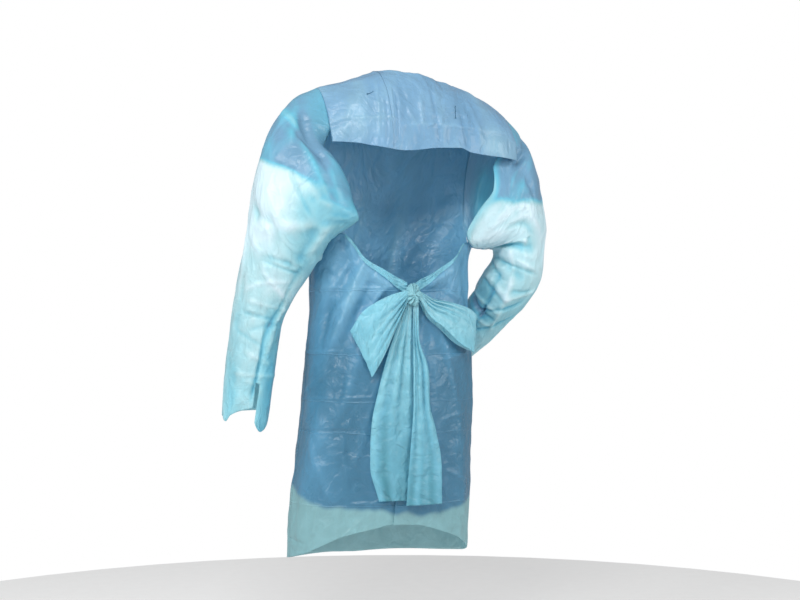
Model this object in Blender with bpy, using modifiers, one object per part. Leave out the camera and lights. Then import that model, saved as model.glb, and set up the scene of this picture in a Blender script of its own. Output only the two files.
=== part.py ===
"""Sleeved apron of thin film, open across the upper back and tied behind the waist, in its worn shape.

The wearer's front faces -Y, the wearer's left is +X and up is +Z. The origin is at the base of the neck,
where the garment hangs on the shoulders. Every piece of cloth is an open sheet worked out from the tables
below and given its wall by a Solidify modifier. Lengths are in metres and angles in degrees. Angles round
the body start at the middle of the front and grow towards the wearer's left.
"""

from collections import namedtuple

import bpy
import bmesh
import numpy as np

# The cloth's wall, the way each panel stands off the line of its seams, and the lift of a piece on another.
WALL = 0.0012
FRONT_SEAM = 0.0003
WING_SEAM = 0.0004
YOKE_SEAM = 0.0010
LAP = 0.0025

# The body tube: level rings from the hem up to the chest, and the way over the shoulders above them.
CHEST_TOP = -0.160
OVER_SHOULDER = 0.100
SQUARENESS = 2.2
Section = namedtuple("Section", "height centre_x half_width front back")
BODY = (
    Section(-1.140, 0.058, 0.211, 0.160, 0.140),
    Section(-1.010, 0.050, 0.215, 0.155, 0.148),
    Section(-0.875, 0.040, 0.208, 0.147, 0.150),
    Section(-0.755, 0.031, 0.201, 0.138, 0.148),
    Section(-0.630, 0.028, 0.197, 0.128, 0.140),
    Section(-0.540, 0.028, 0.189, 0.122, 0.131),
    Section(-0.440, 0.026, 0.190, 0.124, 0.128),
    Section(-0.350, 0.012, 0.203, 0.128, 0.126),
    Section(-0.250, -0.008, 0.222, 0.124, 0.120),
    Section(-0.160, -0.020, 0.240, 0.108, 0.110),
)
Shoulder = namedtuple("Shoulder", "x top")
SHOULDER_LINE = (
    Shoulder(-0.260, -0.088),
    Shoulder(-0.205, -0.053),
    Shoulder(-0.130, -0.022),
    Shoulder(-0.060, 0.012),
    Shoulder(-0.020, 0.024),
    Shoulder(0.030, 0.018),
    Shoulder(0.070, 0.003),
    Shoulder(0.120, -0.017),
    Shoulder(0.195, -0.038),
    Shoulder(0.225, -0.050),
)

# The neck hole, an oval seen from above.
NECK_X = -0.033
NECK_HALF_WIDTH = 0.100
NECK_BACK = 0.058
NECK_FRONT = 0.096


def hermite(places, values, slopes, where):
    """Value of the cubic curve with these slopes through a table's rows."""
    where = np.clip(where, places[0], places[-1])
    row = np.clip(np.searchsorted(places, where, side="right") - 1, 0, len(places) - 2)
    width = places[row + 1] - places[row]
    part = (where - places[row]) / width
    rest = 1 - part
    return (
        values[row] * (1 + 2 * part) * rest**2
        + values[row + 1] * (3 - 2 * part) * part**2
        + slopes[row] * width * part * rest**2
        - slopes[row + 1] * width * part**2 * rest
    )


def table_curve(rows, column, where):
    """Smooth curve through one named column of a table, which never overshoots its rows."""
    places = np.array([row[0] for row in rows], float)
    values = np.array([getattr(row, column) for row in rows], float)
    steps = np.diff(values) / np.diff(places)
    before, after = steps[:-1], steps[1:]
    turning = before * after <= 0
    total = np.where(turning, 1.0, before + after)
    slopes = np.concatenate([steps[:1], np.where(turning, 0.0, 2 * before * after / total), steps[-1:]])
    return hermite(places, values, slopes, np.asarray(where, float))


def ring_point(angle, height):
    """Plan position on the level ring of the body tube at a height."""
    turn = np.radians(angle)
    side, ahead = np.sin(turn), np.cos(turn)
    depth = np.where(ahead > 0, table_curve(BODY, "front", height), table_curve(BODY, "back", height))
    half_width = table_curve(BODY, "half_width", height)
    reach = (np.abs(side) / half_width) ** SQUARENESS + (np.abs(ahead) / depth) ** SQUARENESS
    radius = reach ** (-1 / SQUARENESS)
    return table_curve(BODY, "centre_x", height) + radius * side, -radius * ahead


def body_point(angle, rise):
    """Point on the body tube; above the chest the rise is the way over the shoulder."""
    angle, rise = np.broadcast_arrays(np.asarray(angle, float), np.asarray(rise, float))
    lean = np.maximum(rise - CHEST_TOP, 0.0) / OVER_SHOULDER
    x, y = ring_point(angle, np.minimum(rise, CHEST_TOP))
    top = table_curve(SHOULDER_LINE, "top", x) - CHEST_TOP
    z = np.minimum(rise, CHEST_TOP) + top * np.sin(lean)
    return np.stack([x, y * np.cos(lean), z], axis=-1)


SHOULDER_RISE = CHEST_TOP + OVER_SHOULDER * np.pi / 2


def neck_edge(share, front):
    """Angle and rise of the neck hole's edge, share running from the wearer's left to the right."""
    turn = np.pi * np.asarray(share, float)
    x = NECK_X + NECK_HALF_WIDTH * np.cos(turn)
    y = np.sin(turn) * (-NECK_FRONT if front else NECK_BACK)
    chest = BODY[-1]
    depth = chest.front if front else chest.back
    beside = (np.abs(x - chest.centre_x) / chest.half_width) ** SQUARENESS
    ring_y = depth * (1 - beside) ** (1 / SQUARENESS)
    angle = np.degrees(np.arctan2(x - chest.centre_x, ring_y if front else -ring_y))
    angle = np.where(angle < 0, angle + (0 if front else 360), angle)
    rise = CHEST_TOP + OVER_SHOULDER * np.arccos(np.clip(np.abs(y) / ring_y, 0, 1))
    return angle, rise


# Edges of the panels on the body tube.
Edge = namedtuple("Edge", "angle rise")
HEM = (
    Edge(0, -1.132),
    Edge(60, -1.126),
    Edge(84, -1.112),
    Edge(108, -1.092),
    Edge(125, -1.064),
    Edge(135, -1.050),
    Edge(154, -1.035),
    Edge(173, -1.025),
    Edge(194, -1.028),
    Edge(213, -1.042),
    Edge(235, -1.067),
    Edge(250, -1.092),
    Edge(270, -1.115),
    Edge(300, -1.127),
    Edge(360, -1.132),
)
UNDERARM_LEFT = -0.440
UNDERARM_RIGHT = -0.400
WING_TOP_LEFT = (
    Edge(90, UNDERARM_LEFT),
    Edge(105, -0.404),
    Edge(119, -0.375),
    Edge(126, -0.390),
    Edge(140, -0.437),
    Edge(156, -0.463),
    Edge(176, -0.492),
    Edge(200, -0.500),
)
WING_TOP_RIGHT = (
    Edge(170, -0.500),
    Edge(180, -0.497),
    Edge(192, -0.486),
    Edge(214, -0.455),
    Edge(230, -0.426),
    Edge(238, -0.394),
    Edge(250, -0.390),
    Edge(270, UNDERARM_RIGHT),
)
LEFT_WING_END = 195.0
RIGHT_WING_END = 172.5
WING_LAP = 0.0045
YOKE_LOW = (
    Edge(108, -0.170),
    Edge(117, -0.172),
    Edge(133, -0.181),
    Edge(155, -0.188),
    Edge(197, -0.180),
    Edge(220, -0.178),
    Edge(229, -0.187),
    Edge(249, -0.192),
    Edge(257, -0.190),
)
Seam = namedtuple("Seam", "share angle rise")
FRONT_ARMHOLE = (
    Seam(0.00, 90.0, UNDERARM_LEFT),
    Seam(0.20, 80.0, -0.405),
    Seam(0.42, 71.5, -0.335),
    Seam(0.65, 68.0, -0.240),
    Seam(0.82, 69.5, -0.150),
    Seam(0.92, 73.0, -0.085),
    Seam(1.00, 79.5, SHOULDER_RISE),
)


def hem_rise(angle):
    """Height of the hem at an angle round the body."""
    return table_curve(HEM, "rise", np.mod(angle, 360))


def body_lifted(angle, rise, lift):
    """Point lifted off the body tube along the tube's own normal."""
    angle, rise = np.broadcast_arrays(np.asarray(angle, float), np.asarray(rise, float))
    across = body_point(angle + 0.5, rise) - body_point(angle - 0.5, rise)
    along = body_point(angle, rise + 0.002) - body_point(angle, rise - 0.002)
    normals = np.cross(across, along)
    normals /= np.linalg.norm(normals, axis=-1, keepdims=True)
    return body_point(angle, rise) + normals * np.asarray(lift)[..., None]


def smooth_step(share):
    """Rises from 0 to 1 with level ends."""
    share = np.clip(share, 0, 1)
    return share * share * (3 - 2 * share)


def steps(*stretches):
    """Joins evenly stepped stretches (start, end, count), leaving out repeated joints."""
    runs = [np.linspace(start, end, count + 1)[:-1] for start, end, count in stretches]
    return np.concatenate(runs + [[stretches[-1][1]]])


# Large folds. A fold runs straight from one place to another on its sheet and fades out at both ends.
# Its depth is above the sheet, so a trough's is negative, and its width is half of its soft section.
Fold = namedtuple("Fold", "angle_a rise_a angle_b rise_b depth width")
FOLD_RADIUS = 0.17
FOLD_OVERRUN = 0.12
FOLD_RISE = 0.30
BODY_FOLDS = (
    Fold(139, -0.440, 117, -0.640, 0.0080, 0.022),
    Fold(131, -0.430, 106, -0.600, -0.0060, 0.018),
    Fold(164, -0.520, 138, -0.540, -0.0055, 0.014),
    Fold(164, -0.500, 146, -0.470, 0.0045, 0.011),
    Fold(120, -0.400, 128, -0.470, -0.0050, 0.014),
    Fold(112, -0.760, 106, -1.080, 0.0070, 0.024),
    Fold(136, -0.820, 140, -1.040, -0.0060, 0.026),
    Fold(196, -0.510, 224, -0.500, -0.0055, 0.013),
    Fold(196, -0.498, 230, -0.450, 0.0045, 0.012),
    Fold(202, -0.560, 222, -0.660, 0.0050, 0.018),
    Fold(240, -0.420, 250, -0.560, -0.0060, 0.018),
    Fold(228, -0.760, 236, -1.050, 0.0070, 0.024),
    Fold(18, -0.300, 26, -1.120, 0.0090, 0.026),
    Fold(-4, -0.420, 2, -1.130, -0.0070, 0.030),
    Fold(-22, -0.260, -30, -1.120, 0.0080, 0.024),
    Fold(48, -0.420, 54, -1.110, -0.0080, 0.028),
    Fold(-50, -0.380, -58, -1.120, -0.0090, 0.026),
    Fold(62, -0.320, 30, -0.520, -0.0060, 0.020),
    Fold(-62, -0.290, -28, -0.460, -0.0060, 0.020),
)
YOKE_FOLDS = (
    Fold(124, -0.030, 121, -0.180, 0.0035, 0.016),
    Fold(206, -0.030, 212, -0.180, -0.0030, 0.018),
    Fold(236, -0.020, 244, -0.190, 0.0040, 0.018),
)


def fold_lift(folds, across, along, arc):
    """Lift of a set of folds at places across, in degrees of arc metres each, and along, in metres."""
    lift = np.zeros(np.broadcast(across, along).shape)
    for fold in folds:
        run_across = (fold.angle_b - fold.angle_a) * arc
        run_along = fold.rise_b - fold.rise_a
        length = np.hypot(run_across, run_along)
        from_across = ((across - fold.angle_a + 180) % 360 - 180) * arc
        from_along = along - fold.rise_a
        share = (from_across * run_across + from_along * run_along) / length**2
        aside = (from_across * run_along - from_along * run_across) / length
        start = smooth_step((share + FOLD_OVERRUN) / FOLD_RISE)
        end = smooth_step((1 + FOLD_OVERRUN - share) / FOLD_RISE)
        lift = lift + fold.depth * np.exp(-((aside / fold.width) ** 2)) * start * end
    return lift


def body_fold_lift(folds, angle, rise):
    """Lift of folds stated by angle and rise on the body tube."""
    return fold_lift(folds, angle, rise, np.radians(FOLD_RADIUS))


# The front panel: steps up each side seam, armhole and shoulder seam, and steps from side to side.
SIDE_SEAM = 90.0
FRONT_ROWS = (9, 8, 3)
FRONT_COLUMNS = 16
FRONT_WAIST = -0.500
NECK_SHAPED = 0.75


def armhole(share, side):
    """Angle and rise of the front armhole from the underarm, share 0, to the shoulder."""
    underarm = UNDERARM_LEFT if side > 0 else UNDERARM_RIGHT
    shorter = (SHOULDER_RISE - underarm) / (SHOULDER_RISE - UNDERARM_LEFT)
    rise = table_curve(FRONT_ARMHOLE, "rise", share)
    angle = side * table_curve(FRONT_ARMHOLE, "angle", share)
    return angle, SHOULDER_RISE + (rise - SHOULDER_RISE) * shorter


def front_points(angle, rise):
    """Points of the front panel, a seam's gap in front of the middle of the side."""
    points = body_lifted(angle, rise, body_fold_lift(BODY_FOLDS, angle, rise))
    points[..., 1] -= FRONT_SEAM
    return points


def front_side(side, counts):
    """Side edge of the front panel: up the side seam and the armhole, then along the shoulder seam."""
    seam_steps, armhole_steps, shoulder_steps = counts
    hole_angle, hole_rise = armhole(np.linspace(0, 1, armhole_steps + 1), side)
    seam_rise = np.linspace(hem_rise(side * SIDE_SEAM), hole_rise[0], seam_steps + 1)[:-1]
    neck_angle = neck_edge(0 if side > 0 else 1, front=True)[0]
    shoulder_angle = np.linspace(hole_angle[-1], neck_angle, shoulder_steps + 1)[1:]
    angle = np.concatenate([np.full(seam_steps, side * SIDE_SEAM), hole_angle, shoulder_angle])
    rise = np.concatenate([seam_rise, hole_rise, np.full(shoulder_steps, SHOULDER_RISE)])
    return np.stack([angle, rise], axis=-1)


def front_grid(counts, columns):
    """Grid of the front panel. Its rows hang between the side edges, from the hem up to the neck hole."""
    rows = sum(counts)
    right_side, left_side = front_side(-1, counts), front_side(1, counts)
    neck_angle, neck_rise = neck_edge(np.linspace(1, 0, columns + 1), front=True)
    middle = np.concatenate([
        np.linspace(hem_rise(0), FRONT_WAIST, counts[0] + 1)[:-1],
        np.linspace(FRONT_WAIST, neck_rise.min(), rows - counts[0] + 1),
    ])
    across = np.linspace(0, 1, columns + 1)[None, :]
    upper = smooth_step((np.linspace(0, 1, rows + 1) - NECK_SHAPED) / (1 - NECK_SHAPED))[:, None]
    neck_across = (neck_angle - neck_angle[0]) / (neck_angle[-1] - neck_angle[0])
    neck_sag = (neck_rise - SHOULDER_RISE) / (neck_rise.min() - SHOULDER_RISE)
    place = across * (1 - upper) + neck_across * upper
    sag = smooth_step(1 - np.abs(2 * across - 1)) * (1 - upper) + neck_sag * upper
    angle = right_side[:, :1] + (left_side[:, :1] - right_side[:, :1]) * place
    sides = right_side[:, 1:] + (left_side[:, 1:] - right_side[:, 1:]) * place
    rise = sides + (middle - sides.mean(axis=1))[:, None] * sag
    rise = rise + (hem_rise(angle[:1]) - rise[:1]) * (1 - np.linspace(0, 1, rows + 1)[:, None]) ** 3
    return front_points(angle, rise)


WING_COLUMNS = 15
WING_ROWS = 15


def wing_lift(side, angle, rise):
    """Lift of a back wing off the body tube; the right wing laps over the left one."""
    lift = body_fold_lift(BODY_FOLDS, angle, rise)
    return lift if side > 0 else lift + WING_LAP * smooth_step((218 - angle) / 18)


def wing_angles(side, columns):
    """Angles of a back wing's columns, from its first edge to its last as angles grow."""
    if side > 0:
        return np.linspace(SIDE_SEAM, LEFT_WING_END, columns + 1)
    return np.linspace(RIGHT_WING_END, 360 - SIDE_SEAM, columns + 1)


def wing_points(side, angle, rise):
    """Points of a back wing, a seam's gap behind the middle of the side."""
    points = body_lifted(angle, rise, wing_lift(side, angle, rise))
    points[..., 1] += WING_SEAM
    return points


def wing_top(side, angle):
    """Rise of a back wing's top edge."""
    return table_curve(WING_TOP_LEFT if side > 0 else WING_TOP_RIGHT, "rise", angle)


def wing_grid(side, columns, rows):
    """Grid of a back wing, from the hem up to the edge that runs down to the knot."""
    angle = wing_angles(side, columns)
    up = np.linspace(0, 1, rows + 1)[:, None]
    rise = hem_rise(angle) + (wing_top(side, angle) - hem_rise(angle)) * up
    return wing_points(side, np.broadcast_to(angle, rise.shape), rise)


Hang = namedtuple("Hang", "angle lift")
YOKE_HANG = (
    Hang(100, 0.014),
    Hang(109, 0.011),
    Hang(118, 0.005),
    Hang(135, 0.008),
    Hang(160, 0.004),
    Hang(200, 0.005),
    Hang(225, 0.009),
    Hang(240, 0.010),
    Hang(249, 0.029),
    Hang(257, 0.042),
)
YOKE_TOP_LEFT = 100.5
YOKE_TOP_RIGHT = 259.5
YOKE_COLUMNS = (4, 10, 4)
YOKE_ROWS = 6
YOKE_FALL = 1.5


def yoke_lift(angle, rise, up):
    """Lift of the yoke, which hangs loose at its lower edge."""
    hang = table_curve(YOKE_HANG, "lift", angle) * (1 - up) ** YOKE_FALL
    return hang + body_fold_lift(YOKE_FOLDS, angle, rise)


def yoke_points(angle, rise, up, tuck=0.0):
    """Points of the yoke, a seam's gap behind the shoulder line, or of an edge tucked in below it."""
    points = body_lifted(angle, rise, yoke_lift(angle, rise, up) - tuck)
    points[..., 1] += YOKE_SEAM
    return points


def yoke_end(side, up, tuck):
    """Points of one end of the yoke, up running from its lower corner to the shoulder."""
    low = YOKE_LOW[0] if side > 0 else YOKE_LOW[-1]
    top = YOKE_TOP_LEFT if side > 0 else YOKE_TOP_RIGHT
    angle = low.angle + (top - low.angle) * up
    rise = low.rise + (SHOULDER_RISE - low.rise) * up
    return yoke_points(angle, rise, up, tuck)


def yoke_grid(counts, rows):
    """Grid of the back yoke, from its loose lower edge up to the shoulder seams and the neck hole."""
    left_steps, neck_steps, right_steps = counts
    neck_angle, neck_rise = neck_edge(np.linspace(0, 1, neck_steps + 1), front=False)
    left_seam = np.linspace(YOKE_TOP_LEFT, neck_angle[0], left_steps + 1)[:-1]
    right_seam = np.linspace(neck_angle[-1], YOKE_TOP_RIGHT, right_steps + 1)[1:]
    top_angle = np.concatenate([left_seam, neck_angle, right_seam])
    top_rise = np.concatenate([
        np.full(left_steps, SHOULDER_RISE), neck_rise, np.full(right_steps, SHOULDER_RISE),
    ])
    share = (top_angle - YOKE_TOP_LEFT) / (YOKE_TOP_RIGHT - YOKE_TOP_LEFT)
    low_angle = YOKE_LOW[0].angle + share * (YOKE_LOW[-1].angle - YOKE_LOW[0].angle)
    low_rise = table_curve(YOKE_LOW, "rise", low_angle)
    up = np.linspace(0, 1, rows + 1)[:, None]
    angle = low_angle + (top_angle - low_angle) * up
    rise = low_rise + (top_rise - low_rise) * up
    return yoke_points(angle, rise, up)


# Sleeves. Each row is a section across the arm: the cloth's outer point, its inner point under the arm
# and half of its depth from front to back. The first row is the armhole and the last one the cuff.
Sleeve = namedtuple("Sleeve", "outer inner half_depth")
SLEEVE_LEFT = (
    Sleeve((0.2065, 0.000, -0.042), (0.150, 0.128, -0.346), 0.085),
    Sleeve((0.250, 0.000, -0.064), (0.178, 0.137, -0.352), 0.088),
    Sleeve((0.280, 0.000, -0.097), (0.203, 0.132, -0.362), 0.090),
    Sleeve((0.313, 0.000, -0.159), (0.217, 0.118, -0.386), 0.090),
    Sleeve((0.332, 0.000, -0.226), (0.228, 0.105, -0.416), 0.088),
    Sleeve((0.350, 0.000, -0.300), (0.236, 0.080, -0.450), 0.082),
    Sleeve((0.368, 0.000, -0.385), (0.249, 0.052, -0.488), 0.076),
    Sleeve((0.385, 0.000, -0.465), (0.268, 0.026, -0.528), 0.070),
    Sleeve((0.398, 0.000, -0.545), (0.288, 0.008, -0.578), 0.064),
    Sleeve((0.408, 0.000, -0.625), (0.297, 0.000, -0.640), 0.060),
    Sleeve((0.415, -0.004, -0.700), (0.303, -0.006, -0.702), 0.056),
    Sleeve((0.4185, -0.008, -0.775), (0.314, -0.010, -0.775), 0.050),
)
SLEEVE_RIGHT = (
    Sleeve((-0.2475, 0.000, -0.076), (-0.128, 0.104, -0.386), 0.076),
    Sleeve((-0.278, 0.000, -0.108), (-0.150, 0.082, -0.402), 0.078),
    Sleeve((-0.307, 0.004, -0.150), (-0.172, 0.060, -0.405), 0.080),
    Sleeve((-0.329, 0.012, -0.210), (-0.194, 0.045, -0.404), 0.080),
    Sleeve((-0.3416, 0.022, -0.280), (-0.213, 0.032, -0.400), 0.078),
    Sleeve((-0.352, 0.034, -0.350), (-0.226, 0.018, -0.400), 0.074),
    Sleeve((-0.3475, 0.044, -0.420), (-0.232, 0.006, -0.412), 0.068),
    Sleeve((-0.340, 0.042, -0.482), (-0.231, -0.008, -0.436), 0.062),
    Sleeve((-0.313, 0.020, -0.540), (-0.218, -0.032, -0.470), 0.058),
    Sleeve((-0.277, -0.014, -0.586), (-0.214, -0.058, -0.503), 0.054),
    Sleeve((-0.249, -0.048, -0.624), (-0.199, -0.086, -0.537), 0.050),
    Sleeve((-0.218, -0.080, -0.657), (-0.178, -0.110, -0.572), 0.046),
)
# The loose back edge of each sleeve, by its share of the way round the armhole.
Loose = namedtuple("Loose", "share place")
LOOSE_LEFT = (
    Loose(0.175, (0.2060, 0.0660, -0.190)),
    Loose(0.210, (0.1900, 0.0840, -0.209)),
    Loose(0.250, (0.1750, 0.1000, -0.232)),
    Loose(0.295, (0.1620, 0.1150, -0.270)),
    Loose(0.340, (0.1570, 0.1250, -0.306)),
    Loose(0.385, (0.1490, 0.1360, -0.340)),
    Loose(0.420, (0.1500, 0.1260, -0.352)),
    Loose(0.455, (0.1700, 0.1020, -0.370)),
)
LOOSE_RIGHT = (
    Loose(0.180, (-0.2140, 0.0660, -0.198)),
    Loose(0.235, (-0.2040, 0.0880, -0.250)),
    Loose(0.270, (-0.1980, 0.0910, -0.276)),
    Loose(0.320, (-0.1640, 0.1010, -0.314)),
    Loose(0.375, (-0.1275, 0.1110, -0.366)),
    Loose(0.420, (-0.1300, 0.1050, -0.387)),
)
# Shares of the way round the armhole where the yoke's end, the loose edge, the wing and the front meet.
YOKE_SHARE = 0.140
YOKE_JOIN = 5 / 6
WING_SHARE = 0.500
UNDERARM_SHARE = 0.600
WING_STEPS = 4
INNER_SHARE = 0.430
SHOULDER_BLEND = 0.42
UNDER_END = 0.52
UNDER_SPREAD_BACK = 0.15
UNDER_SPREAD_FRONT = 0.18
SLEEVE_GAP = 0.0012
SLEEVE_TUCK = 0.0060
CLEAR_FADE = 0.020
FOLD_FADE = 0.120
Cuff = namedtuple("Cuff", "share drop")
CUFF = (
    Cuff(0.000, 0.010),
    Cuff(0.045, 0.020),
    Cuff(0.080, 0.006),
    Cuff(0.140, -0.005),
    Cuff(0.215, -0.012),
    Cuff(0.240, 0.026),
    Cuff(0.285, 0.043),
    Cuff(0.335, 0.032),
    Cuff(0.380, 0.012),
    Cuff(0.450, 0.002),
    Cuff(0.700, 0.006),
    Cuff(1.000, 0.010),
)
CUFF_START = 0.90
THUMB_SLIT = (0.215, 0.235)
THUMB_SLIT_START = 0.915
SLEEVE_TURNS = steps(
    (0, YOKE_SHARE, YOKE_ROWS),
    (YOKE_SHARE, THUMB_SLIT[0], 2),
    (THUMB_SLIT[0], THUMB_SLIT[1], 1),
    (THUMB_SLIT[1], WING_SHARE, 5),
    (WING_SHARE, UNDERARM_SHARE, WING_STEPS),
    (UNDERARM_SHARE, 1, FRONT_ROWS[1]),
)
SLEEVE_ROWS = 17
LEFT_SLEEVE_FOLDS = (
    Fold(36, 0.085, 92, 0.060, -0.010, 0.016),
    Fold(60, 0.110, 20, 0.135, 0.006, 0.016),
    Fold(90, 0.300, 40, 0.340, -0.005, 0.014),
    Fold(300, 0.240, 340, 0.420, -0.007, 0.022),
    Fold(250, 0.330, 290, 0.520, 0.006, 0.022),
)
RIGHT_SLEEVE_FOLDS = (
    Fold(60, 0.060, 18, 0.120, -0.010, 0.016),
    Fold(150, 0.330, 60, 0.390, -0.011, 0.013),
    Fold(140, 0.420, 60, 0.470, -0.006, 0.014),
    Fold(130, 0.500, 50, 0.540, 0.006, 0.013),
    Fold(150, 0.590, 60, 0.620, -0.006, 0.013),
    Fold(300, 0.240, 340, 0.420, -0.007, 0.022),
)
SLEEVE_LENGTH = 0.74
SLEEVE_ARC = 0.0014


def station_curve(values, station):
    """Smooth curve through a sleeve table's values, station running from 0 to 1."""
    values = np.array(values, float)
    places = np.linspace(0, 1, len(values))
    slopes = np.gradient(values, places, axis=0)
    if values.ndim == 1:
        return hermite(places, values, slopes, station)
    return np.stack([hermite(places, values[:, i], slopes[:, i], station) for i in range(3)], axis=-1)


def armhole_ring(side, turns):
    """Edge of a sleeve at the armhole: yoke end, loose back edge, wing edge and front seam in turn."""
    loose = LOOSE_LEFT if side > 0 else LOOSE_RIGHT
    join = YOKE_SHARE * YOKE_JOIN
    wing_end = wing_angles(side, WING_COLUMNS)[::side][WING_STEPS]
    seam_angle = SIDE_SEAM if side > 0 else 360 - SIDE_SEAM
    wing_angle = np.interp(turns, [WING_SHARE, UNDERARM_SHARE], [wing_end, seam_angle])
    on_wing = wing_points(side, wing_angle, wing_top(side, wing_angle))
    down = np.minimum(turns / YOKE_SHARE, YOKE_JOIN)
    on_yoke = yoke_end(side, 1 - down, SLEEVE_TUCK * down**2)
    on_front = front_points(*armhole(np.clip((turns - UNDERARM_SHARE) / (1 - UNDERARM_SHARE), 0, 1), side))
    shares = np.array([join, *(row.share for row in loose), WING_SHARE])
    places = np.array([on_yoke[-1], *(row.place for row in loose), on_wing[0]])
    slopes = np.gradient(places, shares, axis=0)
    ring = np.stack([hermite(shares, places[:, i], slopes[:, i], turns) for i in range(3)], axis=-1)
    ring = np.where((turns <= join)[:, None], on_yoke, ring)
    ring = np.where((turns >= WING_SHARE)[:, None], on_wing, ring)
    ring = np.where((turns > UNDERARM_SHARE)[:, None], on_front, ring)
    ring[0] = ring[-1] = (ring[0] + ring[-1]) / 2
    return ring


def clear_of_body(points, gap):
    """Points moved straight out from the body tube wherever they are nearer to it than the gap."""
    height = np.minimum(points[..., 2], CHEST_TOP)
    centre_x = table_curve(BODY, "centre_x", height)
    x, y = points[..., 0] - centre_x, points[..., 1]
    angle = np.degrees(np.arctan2(x, -y))
    wall_x, wall_y = ring_point(angle, height)
    wall = np.hypot(wall_x - centre_x, wall_y) + body_fold_lift(BODY_FOLDS, angle, height) + gap
    below = smooth_step((CHEST_TOP - points[..., 2]) / CLEAR_FADE)
    push = np.maximum(wall / np.hypot(x, y), 1)
    push = 1 + (push - 1) * below
    return np.stack([centre_x + x * push, y * push, points[..., 2]], axis=-1)


def grid_normals(points):
    """Unit normals of a tube's grid of points, whose last column repeats its first."""
    ring = np.concatenate([points[:, -2:-1], points, points[:, 1:2]], axis=1)
    normals = np.cross(ring[:, 2:] - ring[:, :-2], np.gradient(points, axis=0))
    return normals / np.linalg.norm(normals, axis=-1, keepdims=True)


def sleeve_grid(side, turns, rows):
    """Grid of a sleeve, column by column round the arm and row by row from the armhole to the cuff."""
    table = SLEEVE_LEFT if side > 0 else SLEEVE_RIGHT
    folds = LEFT_SLEEVE_FOLDS if side > 0 else RIGHT_SLEEVE_FOLDS
    station = np.linspace(0, 1, rows + 1)
    outer = station_curve([row.outer for row in table], station)
    inner = station_curve([row.inner for row in table], station)
    half_depth = station_curve([row.half_depth for row in table], station)
    centre, arm = (outer + inner) / 2, (outer - inner) / 2
    travel = np.gradient(centre, axis=0)
    travel /= np.linalg.norm(travel, axis=1, keepdims=True)
    back = side * np.cross(arm, travel)
    back *= (half_depth / np.linalg.norm(back, axis=1))[:, None]
    turn = np.radians(np.interp(turns, [0, INNER_SHARE, 1], [0, 180, 360]))[None, :, None]
    section = centre[:, None] + arm[:, None] * np.cos(turn) + back[:, None] * np.sin(turn)
    ring = armhole_ring(side, turns)
    hold = (1 - np.clip(station / SHOULDER_BLEND, 0, 1))[:, None, None] ** 3
    points = section + hold * (ring - section[0])
    # Under the arm the cloth runs straight from the armhole out to the arm.
    last = np.searchsorted(station, UNDER_END)
    straight = section.copy()
    straight[:last] = ring + (section[last] - ring) * (station[:last, None, None] / station[last])
    spread = np.where(turns > UNDERARM_SHARE, UNDER_SPREAD_FRONT, UNDER_SPREAD_BACK)
    under = np.exp(-(((turns - UNDERARM_SHARE) / spread) ** 2))[None, :, None]
    points = points + (straight - points) * under
    points[:, -1] = points[:, 0]
    lower = smooth_step((station - CUFF_START) / (1 - CUFF_START))[:, None, None]
    points = points + travel[:, None] * table_curve(CUFF, "drop", turns)[None, :, None] * lower
    lead = points[1] - points[0]
    points[0] += lead * (SLEEVE_GAP / np.linalg.norm(lead, axis=1))[:, None]
    if side > 0:
        points = points[:, ::-1]
        turns = turns[::-1]
    lift = fold_lift(folds, turns[None, :] * 360, station[:, None] * SLEEVE_LENGTH, SLEEVE_ARC)
    lift = lift * smooth_step(station / FOLD_FADE)[:, None]
    return clear_of_body(points + grid_normals(points) * lift[..., None], SLEEVE_GAP)


# The bow: a knot over the meeting of the two ties, a loop and a loose tail on each side.
KNOT_PLACE = (180.5, -0.514)
KNOT_LIFT = 0.0290
KNOT_RADII = (0.0275, 0.0165, 0.0300)
KNOT_NARROW = 0.22
KNOT_FOLDS = 0.07
KNOT_FOLD_COUNT = 7
KNOT_FOLD_SLANT = 0.45

# A loop starts this far off the knot, over these shares of its half thickness and half height.
ROOT_GAP = 0.0006
ROOT_THICK = 0.18
ROOT_SPREAD = 0.40
TieWidth = namedtuple("TieWidth", "share half_width")
TIE_WIDTHS = (
    TieWidth(0.0, 0.0035),
    TieWidth(0.4, 0.0060),
    TieWidth(0.7, 0.0095),
    TieWidth(0.9, 0.0125),
    TieWidth(1.0, 0.0090),
)
TIE_LEFT = (122.0, 174.5)
TIE_RIGHT = (237.0, 186.5)
TIE_COLUMNS = 14
TIE_ROWS = 5
TIE_SEAT = 0.35
TIE_GATHER = 0.0022
TIE_OVER = 0.0095
TIE_OVER_START = 0.75
LoopRow = namedtuple("LoopRow", "reach upper_angle upper_rise lower_angle lower_rise lift half_thick")
LOOP_LEFT = (
    LoopRow(0.00, 168.5, -0.503, 168.5, -0.529, 0.024, 0.0030),
    LoopRow(0.25, 160.0, -0.512, 166.0, -0.566, 0.024, 0.0090),
    LoopRow(0.50, 148.0, -0.530, 159.5, -0.616, 0.024, 0.0140),
    LoopRow(0.75, 139.0, -0.552, 153.0, -0.662, 0.024, 0.0160),
    LoopRow(1.00, 131.5, -0.596, 147.5, -0.696, 0.024, 0.0160),
)
LOOP_RIGHT = (
    LoopRow(0.00, 192.5, -0.503, 192.5, -0.529, 0.024, 0.0030),
    LoopRow(0.25, 203.0, -0.523, 198.0, -0.566, 0.024, 0.0090),
    LoopRow(0.50, 216.0, -0.531, 208.0, -0.592, 0.024, 0.0130),
    LoopRow(0.75, 231.0, -0.544, 221.0, -0.625, 0.024, 0.0140),
    LoopRow(1.00, 245.0, -0.566, 237.5, -0.648, 0.024, 0.0140),
)
LOOP_COLUMNS = 18
LOOP_ROWS = 6
TailRow = namedtuple("TailRow", "rise left right lift")
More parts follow.
